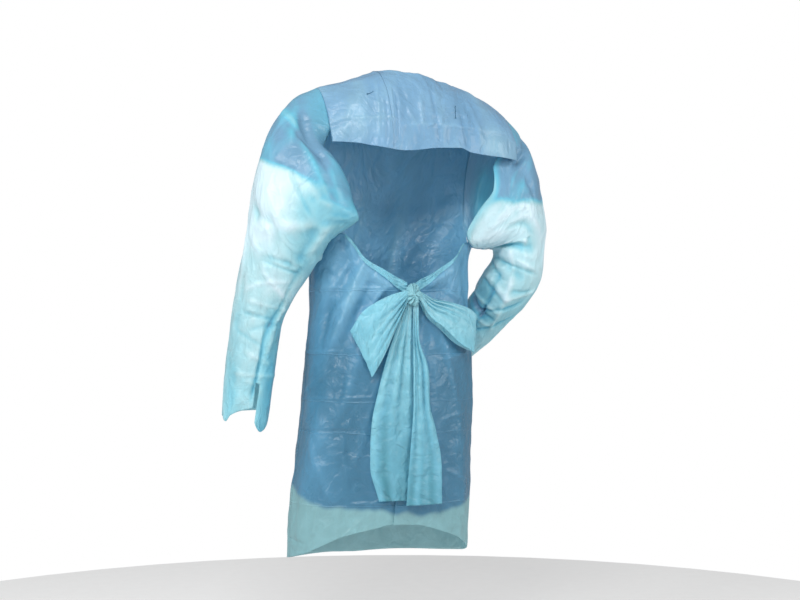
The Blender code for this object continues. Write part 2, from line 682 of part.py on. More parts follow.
TAIL_LEFT = (
    TailRow(-0.970, 158.0, 182.0, 0.0170),
    TailRow(-0.945, 155.0, 182.5, 0.0165),
    TailRow(-0.898, 150.0, 183.0, 0.0160),
    TailRow(-0.800, 148.5, 182.5, 0.0160),
    TailRow(-0.728, 152.0, 182.0, 0.0165),
    TailRow(-0.638, 159.5, 181.0, 0.0190),
    TailRow(-0.580, 167.5, 180.5, 0.0225),
    TailRow(-0.5442, 173.5, 180.2, 0.0245),
)
TAIL_RIGHT = (
    TailRow(-0.980, 179.5, 210.0, 0.0270),
    TailRow(-0.886, 179.5, 207.0, 0.0265),
    TailRow(-0.814, 179.5, 200.5, 0.0265),
    TailRow(-0.760, 179.5, 195.0, 0.0270),
    TailRow(-0.680, 179.0, 193.0, 0.0280),
    TailRow(-0.610, 179.5, 185.5, 0.0280),
    TailRow(-0.5447, 180.8, 187.5, 0.0265),
)
TAIL_COLUMNS = 9
TAIL_ROWS = 13
TAIL_PLEATS = 2.5
TAIL_PLEAT_START = 0.6
TAIL_PLEAT_DEPTH = 0.0035


def knot_centre():
    """Middle of the bow's knot."""
    return body_lifted(KNOT_PLACE[0], KNOT_PLACE[1], KNOT_LIFT)


def tie_grid(side, columns, rows):
    """Grid of a gathered tie, which lies on the top edge of its wing from the side to the knot."""
    start, end = TIE_LEFT if side > 0 else TIE_RIGHT
    share = np.linspace(0, 1, columns + 1)
    angle = start + (end - start) * share
    top = wing_top(side, angle)
    half_width = table_curve(TIE_WIDTHS, "half_width", share)
    across = np.linspace(-1, 1, rows + 1)[:, None]
    rise = top + half_width * (across - TIE_SEAT)
    angle = np.broadcast_to(angle, rise.shape)
    gather = TIE_GATHER * share * (1 - np.cos(across * np.pi * 2)) / 2
    over = TIE_OVER * smooth_step((share - TIE_OVER_START) / (1 - TIE_OVER_START))
    lift = wing_lift(side, angle, rise) + LAP + gather + over
    points = body_lifted(angle, rise, lift)
    return points if side > 0 else points[:, ::-1]


def loop_grid(side, columns, rows):
    """Grid of a bow loop: one strip that goes out from the knot, turns back on itself and returns."""
    table = LOOP_LEFT if side > 0 else LOOP_RIGHT
    round_share = np.linspace(0, 1, columns + 1)
    reach = np.sin(np.pi * round_share)
    over = -np.cos(np.pi * round_share)
    across = np.linspace(0, 1, rows + 1)[:, None]
    column = {name: table_curve(table, name, reach) for name in LoopRow._fields[1:]}
    angle = column["upper_angle"] + (column["lower_angle"] - column["upper_angle"]) * across
    rise = column["upper_rise"] + (column["lower_rise"] - column["upper_rise"]) * across
    lift = np.broadcast_to(column["lift"] + column["half_thick"] * over, angle.shape)
    points = body_lifted(angle, rise, lift)
    spread, thick = np.broadcast_arrays(ROOT_SPREAD * (1 - 2 * across), ROOT_THICK * over)
    root = knot_shape(np.stack([side * np.sqrt(1 - spread**2 - thick**2), thick, spread], axis=-1))
    root[..., 0] += side * ROOT_GAP
    hold = (1 - reach)[None, :, None] ** 3
    points = points + hold * (root - points[:, :1])
    return points if side > 0 else points[::-1]


def tail_grid(side, columns, rows):
    """Grid of a bow tail, pleated lengthwise, from its lower end up to the knot."""
    table = TAIL_LEFT if side > 0 else TAIL_RIGHT
    up = np.linspace(0, 1, rows + 1)[:, None]
    rise = table[0].rise + (table[-1].rise - table[0].rise) * up
    left, right = table_curve(table, "left", rise), table_curve(table, "right", rise)
    across = np.linspace(0, 1, columns + 1)
    angle = left + (right - left) * across
    pleat = TAIL_PLEAT_DEPTH * np.sin(2 * np.pi * TAIL_PLEATS * across + TAIL_PLEAT_START) * (1 - up**4)
    lift = table_curve(table, "lift", rise) + pleat
    return body_lifted(angle, np.broadcast_to(rise, angle.shape), lift)


def film(name, colour):
    """Thin translucent plastic film, here only as a plain colour for the solid."""
    material = bpy.data.materials.new(name)
    material.use_nodes = True
    shader = material.node_tree.nodes["Principled BSDF"]
    shader.inputs["Base Color"].default_value = (*colour, 1)
    shader.inputs["Roughness"].default_value = 0.35
    shader.inputs["Metallic"].default_value = 0.0
    return material


def cloth(name, points, colour, collection, wrap=False, cut=None):
    """A sheet of cloth: a flat grid moved to its worn points, less its cuts, its wall grown inwards."""
    rows, columns = points.shape[0] - 1, points.shape[1] - 1
    flat = bmesh.new()
    bmesh.ops.create_grid(flat, x_segments=columns, y_segments=rows, size=1)
    for vert in flat.verts:
        column = round((vert.co.x + 1) / 2 * columns)
        row = round((vert.co.y + 1) / 2 * rows)
        vert.co = points[row, column]
    if cut is not None:
        flat.faces.ensure_lookup_table()
        gone = [face for index, face in enumerate(flat.faces) if cut[index // columns, index % columns]]
        bmesh.ops.delete(flat, geom=gone, context="FACES")
    if wrap:
        bmesh.ops.remove_doubles(flat, verts=flat.verts, dist=1e-6)
    mesh = bpy.data.meshes.new(name)
    flat.to_mesh(mesh)
    flat.free()
    mesh.shade_smooth()
    mesh.materials.append(film(name, colour))
    sheet = bpy.data.objects.new(name, mesh)
    collection.objects.link(sheet)
    wall = sheet.modifiers.new("Wall", "SOLIDIFY")
    wall.thickness = WALL
    wall.offset = -1
    return sheet


def knot_shape(ball):
    """Shape of the knot over points of a unit ball: narrower at the top, with the folds drawn into it."""
    x, y, z = ball[..., 0], ball[..., 1], ball[..., 2]
    narrow = 1 - KNOT_NARROW * smooth_step((z + 0.2) / 1.2)
    folds = 1 + KNOT_FOLDS * np.sin(KNOT_FOLD_COUNT * (x + KNOT_FOLD_SLANT * z)) * (1 - z**2)
    shape = np.stack([x * narrow * folds, y * folds, z], axis=-1)
    return knot_centre() + shape * np.array(KNOT_RADII)


def knot(name, colour, collection):
    """The bow's knot, a soft gathered lump."""
    lump = bmesh.new()
    bmesh.ops.create_uvsphere(lump, u_segments=24, v_segments=14, radius=1)
    for vert in lump.verts:
        vert.co = knot_shape(np.array(vert.co))
    mesh = bpy.data.meshes.new(name)
    lump.to_mesh(mesh)
    lump.free()
    mesh.shade_smooth()
    mesh.materials.append(film(name, colour))
    collection.objects.link(bpy.data.objects.new(name, mesh))


def thumb_cut(turns, rows):
    """Faces of a sleeve's grid that the thumb slit leaves out."""
    middle = (turns[:-1] + turns[1:]) / 2
    in_slit = (middle > THUMB_SLIT[0]) & (middle < THUMB_SLIT[1])
    down = (np.arange(rows) + 0.5) / rows > THUMB_SLIT_START
    return down[:, None] & in_slit[None, :]


BODY_BLUE = (0.145, 0.395, 0.565)
SLEEVE_AQUA = (0.405, 0.680, 0.745)
TIE_AQUA = (0.275, 0.610, 0.730)


def main():
    """Builds every piece of the garment in one collection."""
    for old in list(bpy.data.objects):
        bpy.data.objects.remove(old, do_unlink=True)
    garment = bpy.data.collections.new("sleeved_apron")
    bpy.context.scene.collection.children.link(garment)
    cloth("body_front", front_grid(FRONT_ROWS, FRONT_COLUMNS), BODY_BLUE, garment)
    cloth("back_yoke", yoke_grid(YOKE_COLUMNS, YOKE_ROWS), BODY_BLUE, garment)
    for side, word in ((1, "left"), (-1, "right")):
        cloth(f"back_wing_{word}", wing_grid(side, WING_COLUMNS, WING_ROWS), BODY_BLUE, garment)
        sleeve = sleeve_grid(side, SLEEVE_TURNS, SLEEVE_ROWS)
        slit = thumb_cut(SLEEVE_TURNS, SLEEVE_ROWS)
        if side > 0:
            slit = slit[:, ::-1]
        cloth(f"sleeve_{word}", sleeve, SLEEVE_AQUA, garment, wrap=True, cut=slit)
        cloth(f"waist_tie_{word}", tie_grid(side, TIE_COLUMNS, TIE_ROWS), TIE_AQUA, garment)
        cloth(f"bow_loop_{word}", loop_grid(side, LOOP_COLUMNS, LOOP_ROWS), TIE_AQUA, garment)
        cloth(f"bow_tail_{word}", tail_grid(side, TAIL_COLUMNS, TAIL_ROWS), TIE_AQUA, garment)
    knot("bow_knot", TIE_AQUA, garment)


if __name__ == "__main__":
    main()
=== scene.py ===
"""Looks of a sleeved apron of thin plastic film: an over-the-head protective gown, worn, with its back
open across the shoulder blades and its ties in a bow behind the waist.

The garment's front faces -Y, its left side is +X and up is +Z. Lengths are in metres and angles in
degrees. Every sheet of film lies on the form of its solid in the frame, from the same tables, with finer
folds and creases added, and is given its wall by a Solidify modifier.
"""

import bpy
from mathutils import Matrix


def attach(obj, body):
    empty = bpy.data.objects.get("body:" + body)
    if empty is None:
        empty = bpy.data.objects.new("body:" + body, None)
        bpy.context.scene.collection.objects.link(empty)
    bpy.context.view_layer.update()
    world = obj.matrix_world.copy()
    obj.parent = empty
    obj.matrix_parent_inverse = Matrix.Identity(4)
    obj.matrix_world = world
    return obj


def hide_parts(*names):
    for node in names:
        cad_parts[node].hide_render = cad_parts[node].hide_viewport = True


bl_info = {
    "name": "Sleeved film apron",
    "version": (1, 0, 0),
    "blender": (4, 5, 0),
    "location": "3D View > Sidebar > Apron",
    "description": "Builds the worn film apron piece by piece, and a plain studio round it",
    "category": "Object",
}

from collections import namedtuple

import bmesh
import bpy
import numpy as np
from mathutils import Vector

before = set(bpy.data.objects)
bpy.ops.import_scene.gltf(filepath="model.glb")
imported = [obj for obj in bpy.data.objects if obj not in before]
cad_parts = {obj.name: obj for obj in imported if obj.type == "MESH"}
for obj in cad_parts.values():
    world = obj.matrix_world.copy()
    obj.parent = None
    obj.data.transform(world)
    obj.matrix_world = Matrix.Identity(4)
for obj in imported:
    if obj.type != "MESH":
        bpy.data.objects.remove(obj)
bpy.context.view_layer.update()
# Each side's sign, which is that of X there, and its word.
SIDES = ((1, "left"), (-1, "right"))

# How far each panel stands off the line of its seams, and the lift of a piece that lies on another.
FRONT_SEAM = 0.0003
WING_SEAM = 0.0004
YOKE_SEAM = 0.0010
LAP = 0.0025

# The body tube: level rings from the hem up to the chest, and the way over the shoulders above them.
CHEST_TOP = -0.160
OVER_SHOULDER = 0.100
SQUARENESS = 2.2
Section = namedtuple("Section", "height centre_x half_width front back")
BODY = (
    Section(-1.140, 0.058, 0.211, 0.160, 0.140),
    Section(-1.010, 0.050, 0.215, 0.155, 0.148),
    Section(-0.875, 0.040, 0.208, 0.147, 0.150),
    Section(-0.755, 0.031, 0.201, 0.138, 0.148),
    Section(-0.630, 0.028, 0.197, 0.128, 0.140),
    Section(-0.540, 0.028, 0.189, 0.122, 0.131),
    Section(-0.440, 0.026, 0.190, 0.124, 0.128),
    Section(-0.350, 0.012, 0.203, 0.128, 0.126),
    Section(-0.250, -0.008, 0.222, 0.124, 0.120),
    Section(-0.160, -0.020, 0.240, 0.108, 0.110),
)
Shoulder = namedtuple("Shoulder", "x top")
SHOULDER_LINE = (
    Shoulder(-0.260, -0.088),
    Shoulder(-0.205, -0.053),
    Shoulder(-0.130, -0.022),
    Shoulder(-0.060, 0.012),
    Shoulder(-0.020, 0.024),
    Shoulder(0.030, 0.018),
    Shoulder(0.070, 0.003),
    Shoulder(0.120, -0.017),
    Shoulder(0.195, -0.038),
    Shoulder(0.225, -0.050),
)

# The neck hole, an oval seen from above.
NECK_X = -0.033
NECK_HALF_WIDTH = 0.100
NECK_BACK = 0.058
NECK_FRONT = 0.096


def hermite(places, values, slopes, where):
    """Value of the cubic curve with these slopes through a table's rows."""
    where = np.clip(where, places[0], places[-1])
    row = np.clip(np.searchsorted(places, where, side="right") - 1, 0, len(places) - 2)
    width = places[row + 1] - places[row]
    part = (where - places[row]) / width
    rest = 1 - part
    return (
        values[row] * (1 + 2 * part) * rest**2
        + values[row + 1] * (3 - 2 * part) * part**2
        + slopes[row] * width * part * rest**2
        - slopes[row + 1] * width * part**2 * rest
    )


def table_curve(rows, column, where):
    """Smooth curve through one named column of a table, which never overshoots its rows."""
    places = np.array([row[0] for row in rows], float)
    values = np.array([getattr(row, column) for row in rows], float)
    rates = np.diff(values) / np.diff(places)
    before, after = rates[:-1], rates[1:]
    turning = before * after <= 0
    total = np.where(turning, 1.0, before + after)
    slopes = np.concatenate([rates[:1], np.where(turning, 0.0, 2 * before * after / total), rates[-1:]])
    return hermite(places, values, slopes, np.asarray(where, float))


def ring_point(angle, height):
    """Plan position on the level ring of the body tube at a height."""
    turn = np.radians(angle)
    side, ahead = np.sin(turn), np.cos(turn)
    depth = np.where(ahead > 0, table_curve(BODY, "front", height), table_curve(BODY, "back", height))
    half_width = table_curve(BODY, "half_width", height)
    reach = (np.abs(side) / half_width) ** SQUARENESS + (np.abs(ahead) / depth) ** SQUARENESS
    radius = reach ** (-1 / SQUARENESS)
    return table_curve(BODY, "centre_x", height) + radius * side, -radius * ahead


def body_point(angle, rise):
    """Point on the body tube; above the chest the rise is the way over the shoulder."""
    angle, rise = np.broadcast_arrays(np.asarray(angle, float), np.asarray(rise, float))
    lean = np.maximum(rise - CHEST_TOP, 0.0) / OVER_SHOULDER
    x, y = ring_point(angle, np.minimum(rise, CHEST_TOP))
    top = table_curve(SHOULDER_LINE, "top", x) - CHEST_TOP
    z = np.minimum(rise, CHEST_TOP) + top * np.sin(lean)
    return np.stack([x, y * np.cos(lean), z], axis=-1)


SHOULDER_RISE = CHEST_TOP + OVER_SHOULDER * np.pi / 2


def neck_edge(share, front):
    """Angle and rise of the neck hole's edge, share running from its left end to its right one."""
    turn = np.pi * np.asarray(share, float)
    x = NECK_X + NECK_HALF_WIDTH * np.cos(turn)
    y = np.sin(turn) * (-NECK_FRONT if front else NECK_BACK)
    chest = BODY[-1]
    depth = chest.front if front else chest.back
    beside = (np.abs(x - chest.centre_x) / chest.half_width) ** SQUARENESS
    ring_y = depth * (1 - beside) ** (1 / SQUARENESS)
    angle = np.degrees(np.arctan2(x - chest.centre_x, ring_y if front else -ring_y))
    angle = np.where(angle < 0, angle + (0 if front else 360), angle)
    rise = CHEST_TOP + OVER_SHOULDER * np.arccos(np.clip(np.abs(y) / ring_y, 0, 1))
    return angle, rise


# Edges of the panels on the body tube.
Edge = namedtuple("Edge", "angle rise")
HEM = (
    Edge(0, -1.132),
    Edge(60, -1.126),
    Edge(84, -1.112),
    Edge(108, -1.092),
    Edge(125, -1.064),
    Edge(135, -1.050),
    Edge(154, -1.035),
    Edge(173, -1.025),
    Edge(194, -1.028),
    Edge(213, -1.042),
    Edge(235, -1.067),
    Edge(250, -1.092),
    Edge(270, -1.115),
    Edge(300, -1.127),
    Edge(360, -1.132),
)
SIDE_SEAM = 90.0
UNDERARM_LEFT = -0.440
UNDERARM_RIGHT = -0.400
WING_TOP_LEFT = (
    Edge(90, UNDERARM_LEFT),
    Edge(105, -0.404),
    Edge(119, -0.375),
    Edge(126, -0.390),
    Edge(140, -0.437),
    Edge(156, -0.463),
    Edge(176, -0.492),
    Edge(200, -0.500),
)
WING_TOP_RIGHT = (
    Edge(170, -0.500),
    Edge(180, -0.497),
    Edge(192, -0.486),
    Edge(214, -0.455),
    Edge(230, -0.426),
    Edge(238, -0.394),
    Edge(250, -0.390),
    Edge(270, UNDERARM_RIGHT),
)
# The angle where each wing ends, past the other one.
LEFT_WING_END = 195.0
RIGHT_WING_END = 172.5
# The right wing laps over the left one: how far it is lifted, and where that starts and how softly.
WING_LAP = 0.0045
LAP_START = 218.0
LAP_FADE = 18.0
YOKE_LOW = (
    Edge(108, -0.170),
    Edge(117, -0.172),
    Edge(133, -0.181),
    Edge(155, -0.188),
    Edge(197, -0.180),
    Edge(220, -0.178),
    Edge(229, -0.187),
    Edge(249, -0.192),
    Edge(257, -0.190),
)
# The left front armhole, by its share of the way from the underarm up to the shoulder.
Seam = namedtuple("Seam", "share angle rise")
FRONT_ARMHOLE = (
    Seam(0.00, 90.0, UNDERARM_LEFT),
    Seam(0.20, 80.0, -0.405),
    Seam(0.42, 71.5, -0.335),
    Seam(0.65, 68.0, -0.240),
    Seam(0.82, 69.5, -0.150),
    Seam(0.92, 73.0, -0.085),
    Seam(1.00, 79.5, SHOULDER_RISE),
)


def hem_rise(angle):
    """Height of the hem at an angle round the body."""
    return table_curve(HEM, "rise", np.mod(angle, 360))


# The tube's slope at a place is read between places this many degrees and metres to each side.
SLOPE_ANGLE = 0.5
SLOPE_RISE = 0.002


def body_lifted(angle, rise, lift):
    """Point lifted off the body tube along the tube's own normal."""
    angle, rise = np.broadcast_arrays(np.asarray(angle, float), np.asarray(rise, float))
    across = body_point(angle + SLOPE_ANGLE, rise) - body_point(angle - SLOPE_ANGLE, rise)
    along = body_point(angle, rise + SLOPE_RISE) - body_point(angle, rise - SLOPE_RISE)
    normals = np.cross(across, along)
    normals /= np.linalg.norm(normals, axis=-1, keepdims=True)
    return body_point(angle, rise) + normals * np.asarray(lift)[..., None]


def smooth_step(share):
    """Rises from 0 to 1 with level ends."""
    share = np.clip(share, 0, 1)
    return share * share * (3 - 2 * share)


def steps(*stretches):
    """Joins evenly stepped stretches (start, end, count), leaving out repeated joints."""
    runs = [np.linspace(start, end, count + 1)[:-1] for start, end, count in stretches]
    return np.concatenate(runs + [[stretches[-1][1]]])


# Large folds. A fold runs straight from one place to another on its sheet and fades out at both ends.
# Its depth is above the sheet, so a trough's is negative, and its width is half of its soft section.
# Angles on the body count as lengths at the fold radius. The overrun and the rise are shares of a fold's
# length: how far it runs past its places, and how long it takes to reach its depth.
Fold = namedtuple("Fold", "angle_a rise_a angle_b rise_b depth width")
FOLD_RADIUS = 0.17
FOLD_OVERRUN = 0.12
FOLD_RISE = 0.30
BODY_FOLDS = (
    Fold(139, -0.440, 117, -0.640, 0.0080, 0.022),
    Fold(131, -0.430, 106, -0.600, -0.0060, 0.018),
    Fold(164, -0.520, 138, -0.540, -0.0055, 0.014),
    Fold(164, -0.500, 146, -0.470, 0.0045, 0.011),
    Fold(120, -0.400, 128, -0.470, -0.0050, 0.014),
    Fold(112, -0.760, 106, -1.080, 0.0070, 0.024),
    Fold(136, -0.820, 140, -1.040, -0.0060, 0.026),
    Fold(196, -0.510, 224, -0.500, -0.0055, 0.013),
    Fold(196, -0.498, 230, -0.450, 0.0045, 0.012),
    Fold(202, -0.560, 222, -0.660, 0.0050, 0.018),
    Fold(240, -0.420, 250, -0.560, -0.0060, 0.018),
    Fold(228, -0.760, 236, -1.050, 0.0070, 0.024),
    Fold(18, -0.300, 26, -1.120, 0.0090, 0.026),
    Fold(-4, -0.420, 2, -1.130, -0.0070, 0.030),
    Fold(-22, -0.260, -30, -1.120, 0.0080, 0.024),
    Fold(48, -0.420, 54, -1.110, -0.0080, 0.028),
    Fold(-50, -0.380, -58, -1.120, -0.0090, 0.026),
    Fold(62, -0.320, 30, -0.520, -0.0060, 0.020),
    Fold(-62, -0.290, -28, -0.460, -0.0060, 0.020),
    # Creases drawn from the ties and the folds of the packing, across the back.
    Fold(139, -0.439, 130, -0.500, 0.0035, 0.007),
    Fold(128, -0.436, 115, -0.502, 0.0030, 0.006),
    Fold(145, -0.476, 131, -0.565, -0.0035, 0.008),
    Fold(157, -0.500, 141, -0.551, 0.0030, 0.006),
    Fold(129, -0.525, 116, -0.625, 0.0028, 0.007),
    Fold(112, -0.525, 109, -0.638, -0.0030, 0.009),
    Fold(104, -0.446, 116, -0.473, -0.0032, 0.006),
    Fold(117, -0.386, 124, -0.408, -0.0045, 0.007),
    Fold(95, -0.497, 160, -0.499, 0.0020, 0.0035),
    Fold(83, -0.644, 124, -0.640, 0.0024, 0.0040),
    Fold(80, -0.749, 151, -0.741, 0.0022, 0.0035),
    Fold(88, -0.821, 141, -0.814, -0.0018, 0.0035),
    Fold(88, -0.738, 116, -0.686, 0.0022, 0.006),
    Fold(127, -0.641, 125, -0.747, -0.0026, 0.008),
    Fold(106, -0.840, 124, -0.970, 0.0024, 0.007),
    Fold(128, -0.814, 137, -0.968, 0.0022, 0.006),
    Fold(136, -0.978, 166, -0.975, 0.0024, 0.0040),
    Fold(86, -1.064, 108, -1.070, -0.0026, 0.0045),
    Fold(116, -0.988, 114, -1.050, 0.0028, 0.005),
    Fold(193, -0.490, 219, -0.457, -0.0028, 0.006),
    Fold(216, -0.502, 240, -0.525, 0.0030, 0.006),
    Fold(209, -0.520, 232, -0.593, -0.0030, 0.007),
    Fold(209, -0.661, 238, -0.644, 0.0024, 0.0045),
    Fold(211, -0.795, 236, -0.778, 0.0022, 0.0045),
    Fold(217, -0.909, 239, -0.939, 0.0024, 0.005),
    Fold(244, -0.560, 252, -0.800, 0.0026, 0.009),
    Fold(222, -0.980, 247, -1.060, -0.0024, 0.006),
    Fold(152, -0.492, 124, -0.800, 0.0042, 0.012),
    Fold(146, -0.480, 113, -0.700, -0.0040, 0.011),
    Fold(163, -0.540, 136, -0.930, 0.0036, 0.013),
    Fold(133, -0.500, 101, -0.600, 0.0034, 0.009),
    Fold(204, -0.530, 226, -0.760, 0.0034, 0.011),
    # Similar ones on the front and the sides.
    Fold(-70, -0.500, 68, -0.497, 0.0020, 0.0035),
    Fold(-66, -0.645, 60, -0.642, -0.0020, 0.0040),
    Fold(-75, -0.822, 70, -0.818, 0.0022, 0.0040),
    Fold(-58, -0.978, 72, -0.975, 0.0020, 0.0035),
    Fold(8, -0.340, 12, -0.940, 0.0022, 0.0045),
    Fold(66, -0.520, 38, -0.620, 0.0028, 0.007),
    Fold(-68, -0.480, -40, -0.590, 0.0028, 0.007),
    Fold(74, -0.690, 46, -0.860, -0.0024, 0.007),
    Fold(-72, -0.700, -48, -0.890, -0.0024, 0.007),
    Fold(32, -0.880, 40, -1.090, 0.0026, 0.006),
    Fold(-16, -0.900, -24, -1.100, 0.0026, 0.007),
    Fold(84, -0.520, 76, -0.700, -0.0030, 0.010),
    Fold(276, -0.500, 284, -0.720, -0.0030, 0.010),
)
YOKE_FOLDS = (
    Fold(124, -0.030, 121, -0.180, 0.0035, 0.016),
    Fold(206, -0.030, 212, -0.180, -0.0030, 0.018),
    Fold(236, -0.020, 244, -0.190, 0.0040, 0.018),
    Fold(118, -0.079, 113, -0.165, 0.0016, 0.0050),
    Fold(135, -0.069, 133, -0.160, 0.0018, 0.0035),
    Fold(140, -0.100, 139, -0.176, -0.0020, 0.0035),
    Fold(146, -0.075, 145, -0.150, 0.0016, 0.0030),
    Fold(150, -0.099, 149, -0.168, -0.0018, 0.0035),
    Fold(177, -0.101, 177, -0.165, 0.0016, 0.0040),
    Fold(192, -0.089, 199, -0.176, -0.0020, 0.0050),
    Fold(229, -0.078, 238, -0.176, 0.0026, 0.0060),
    Fold(222, -0.110, 226, -0.180, -0.0024, 0.0060),
    Fold(111, -0.128, 152, -0.133, 0.0016, 0.0035),
    Fold(157, -0.143, 238, -0.137, 0.0018, 0.0035),
    Fold(106, -0.145, 118, -0.127, -0.0024, 0.0050),
    Fold(160, -0.120, 172, -0.150, 0.0020, 0.0050),
)


# The crumple of the film: soft dents and the sharp ridges between them, in sizes of dent on the film.
Crumple = namedtuple("Crumple", "dent height sharp")
CRUMPLES = (
    Crumple(0.140, 0.0032, 0.0),
    Crumple(0.060, 0.0022, 0.7),
    Crumple(0.028, 0.0012, 1.0),
)
CRUMPLE_STRETCH = 1.6
# A sharp ridge runs where the noise is nothing: it stands at this share of the crumple's height, and
# falls off this fast to both sides.
RIDGE_TOP = 0.45
RIDGE_FALL = 1.8
# Cells of the noise before it repeats, and the row that is read where the noise runs only one way.
LATTICE = 64
NOISE_ROW = 0.5
BODY_SEED = 11
LEFT_SEED = 13
RIGHT_SEED = 14
LOOP_SEED = 21
TAIL_SEED = 31
# Degrees over which a sleeve's crumple passes into itself, and over which a panel's dies at its seam.
WRAP_FADE = 60.0
SEAM_FADE = 8.0
# Length of a sleeve for its folds, and the metres of film in one degree round it.
SLEEVE_LENGTH = 0.74
SLEEVE_ARC = 0.0014


def lattice_noise(u, v, seed):
    """Smooth noise from -1 to 1 over a plane, from seeded slopes on a square lattice."""
    turn = np.random.default_rng(seed).random((LATTICE, LATTICE)) * 2 * np.pi
    cell_u, cell_v = np.floor(u).astype(int), np.floor(v).astype(int)
    part_u, part_v = u - cell_u, v - cell_v
    ease_u, ease_v = smooth_step(part_u), smooth_step(part_v)
    corner = {}
    for du in (0, 1):
        for dv in (0, 1):
            way = turn[(cell_u + du) % LATTICE, (cell_v + dv) % LATTICE]
            corner[du, dv] = np.cos(way) * (part_u - du) + np.sin(way) * (part_v - dv)
    low = corner[0, 0] + (corner[1, 0] - corner[0, 0]) * ease_u
    high = corner[0, 1] + (corner[1, 1] - corner[0, 1]) * ease_u
    return (low + (high - low) * ease_v) * np.sqrt(2)


def crumple(across, along, seed):
    """Lift of the film's crumple at places across and along a sheet, in metres."""
    lift = np.zeros(np.broadcast(across, along).shape)
    for number, row in enumerate(CRUMPLES):
        noise = lattice_noise(across / row.dent, along / row.dent / CRUMPLE_STRETCH, seed * 10 + number)
        ridge = RIDGE_TOP - np.abs(noise) * RIDGE_FALL
        lift = lift + row.height * (noise * (1 - row.sharp) + ridge * row.sharp)
    return lift


def sleeve_crumple(round_sleeve, down_sleeve, seed):
    """Crumple of a sleeve, whose last stretch round passes over into its first."""
    last = smooth_step((360 - round_sleeve) / WRAP_FADE)
    first = crumple((round_sleeve - 360) * SLEEVE_ARC, down_sleeve, seed)
    return first + (crumple(round_sleeve * SLEEVE_ARC, down_sleeve, seed) - first) * last


def body_crumple(angle, rise):
    """Crumple of the panels on the body, which dies away at the side seams."""
    turned = (angle + SIDE_SEAM) % 360 - SIDE_SEAM
    from_seam = np.minimum(np.abs(turned - SIDE_SEAM), np.minimum(turned + SIDE_SEAM, 270 - turned))
    return crumple(turned * np.radians(FOLD_RADIUS), rise, BODY_SEED) * smooth_step(from_seam / SEAM_FADE)


def fold_lift(folds, across, along, arc):
    """Lift of a set of folds at places across, in degrees of arc metres each, and along, in metres."""
    lift = np.zeros(np.broadcast(across, along).shape)
    for fold in folds:
        run_across = (fold.angle_b - fold.angle_a) * arc
        run_along = fold.rise_b - fold.rise_a
        length = np.hypot(run_across, run_along)
        from_across = ((across - fold.angle_a + 180) % 360 - 180) * arc
        from_along = along - fold.rise_a
        share = (from_across * run_across + from_along * run_along) / length**2
        aside = (from_across * run_along - from_along * run_across) / length
        start = smooth_step((share + FOLD_OVERRUN) / FOLD_RISE)
        end = smooth_step((1 + FOLD_OVERRUN - share) / FOLD_RISE)
        lift = lift + fold.depth * np.exp(-((aside / fold.width) ** 2)) * start * end
    return lift


def body_fold_lift(folds, angle, rise):
    """Lift of folds stated by angle and rise on the body tube, and of the crumple that lies on it."""
    return fold_lift(folds, angle, rise, np.radians(FOLD_RADIUS)) + body_crumple(angle, rise)


# The front panel: steps up each side seam, armhole and shoulder seam, and steps from side to side.
FRONT_ROWS = (9, 8, 3)
FRONT_COLUMNS = 16
# Its middle is stepped evenly up to the waist and again above it, and its rows pass into the line of
# the neck hole past this share of the way up.
FRONT_WAIST = -0.500
NECK_SHAPED = 0.75


def armhole(share, side):
    """Angle and rise of the front armhole from the underarm, share 0, to the shoulder."""
    underarm = UNDERARM_LEFT if side > 0 else UNDERARM_RIGHT
    shorter = (SHOULDER_RISE - underarm) / (SHOULDER_RISE - UNDERARM_LEFT)
    rise = table_curve(FRONT_ARMHOLE, "rise", share)
    angle = side * table_curve(FRONT_ARMHOLE, "angle", share)
    return angle, SHOULDER_RISE + (rise - SHOULDER_RISE) * shorter


def front_points(angle, rise):
    """Points of the front panel, a seam's gap in front of the middle of the side."""
    points = body_lifted(angle, rise, body_fold_lift(BODY_FOLDS, angle, rise))
    points[..., 1] -= FRONT_SEAM
    return points


def front_side(side, counts):
    """Side edge of the front panel: up the side seam and the armhole, then along the shoulder seam."""
    seam_steps, armhole_steps, shoulder_steps = counts
    hole_angle, hole_rise = armhole(np.linspace(0, 1, armhole_steps + 1), side)
    seam_rise = np.linspace(hem_rise(side * SIDE_SEAM), hole_rise[0], seam_steps + 1)[:-1]
    neck_angle = neck_edge(0 if side > 0 else 1, front=True)[0]
    shoulder_angle = np.linspace(hole_angle[-1], neck_angle, shoulder_steps + 1)[1:]
    angle = np.concatenate([np.full(seam_steps, side * SIDE_SEAM), hole_angle, shoulder_angle])
    rise = np.concatenate([seam_rise, hole_rise, np.full(shoulder_steps, SHOULDER_RISE)])
    return np.stack([angle, rise], axis=-1)


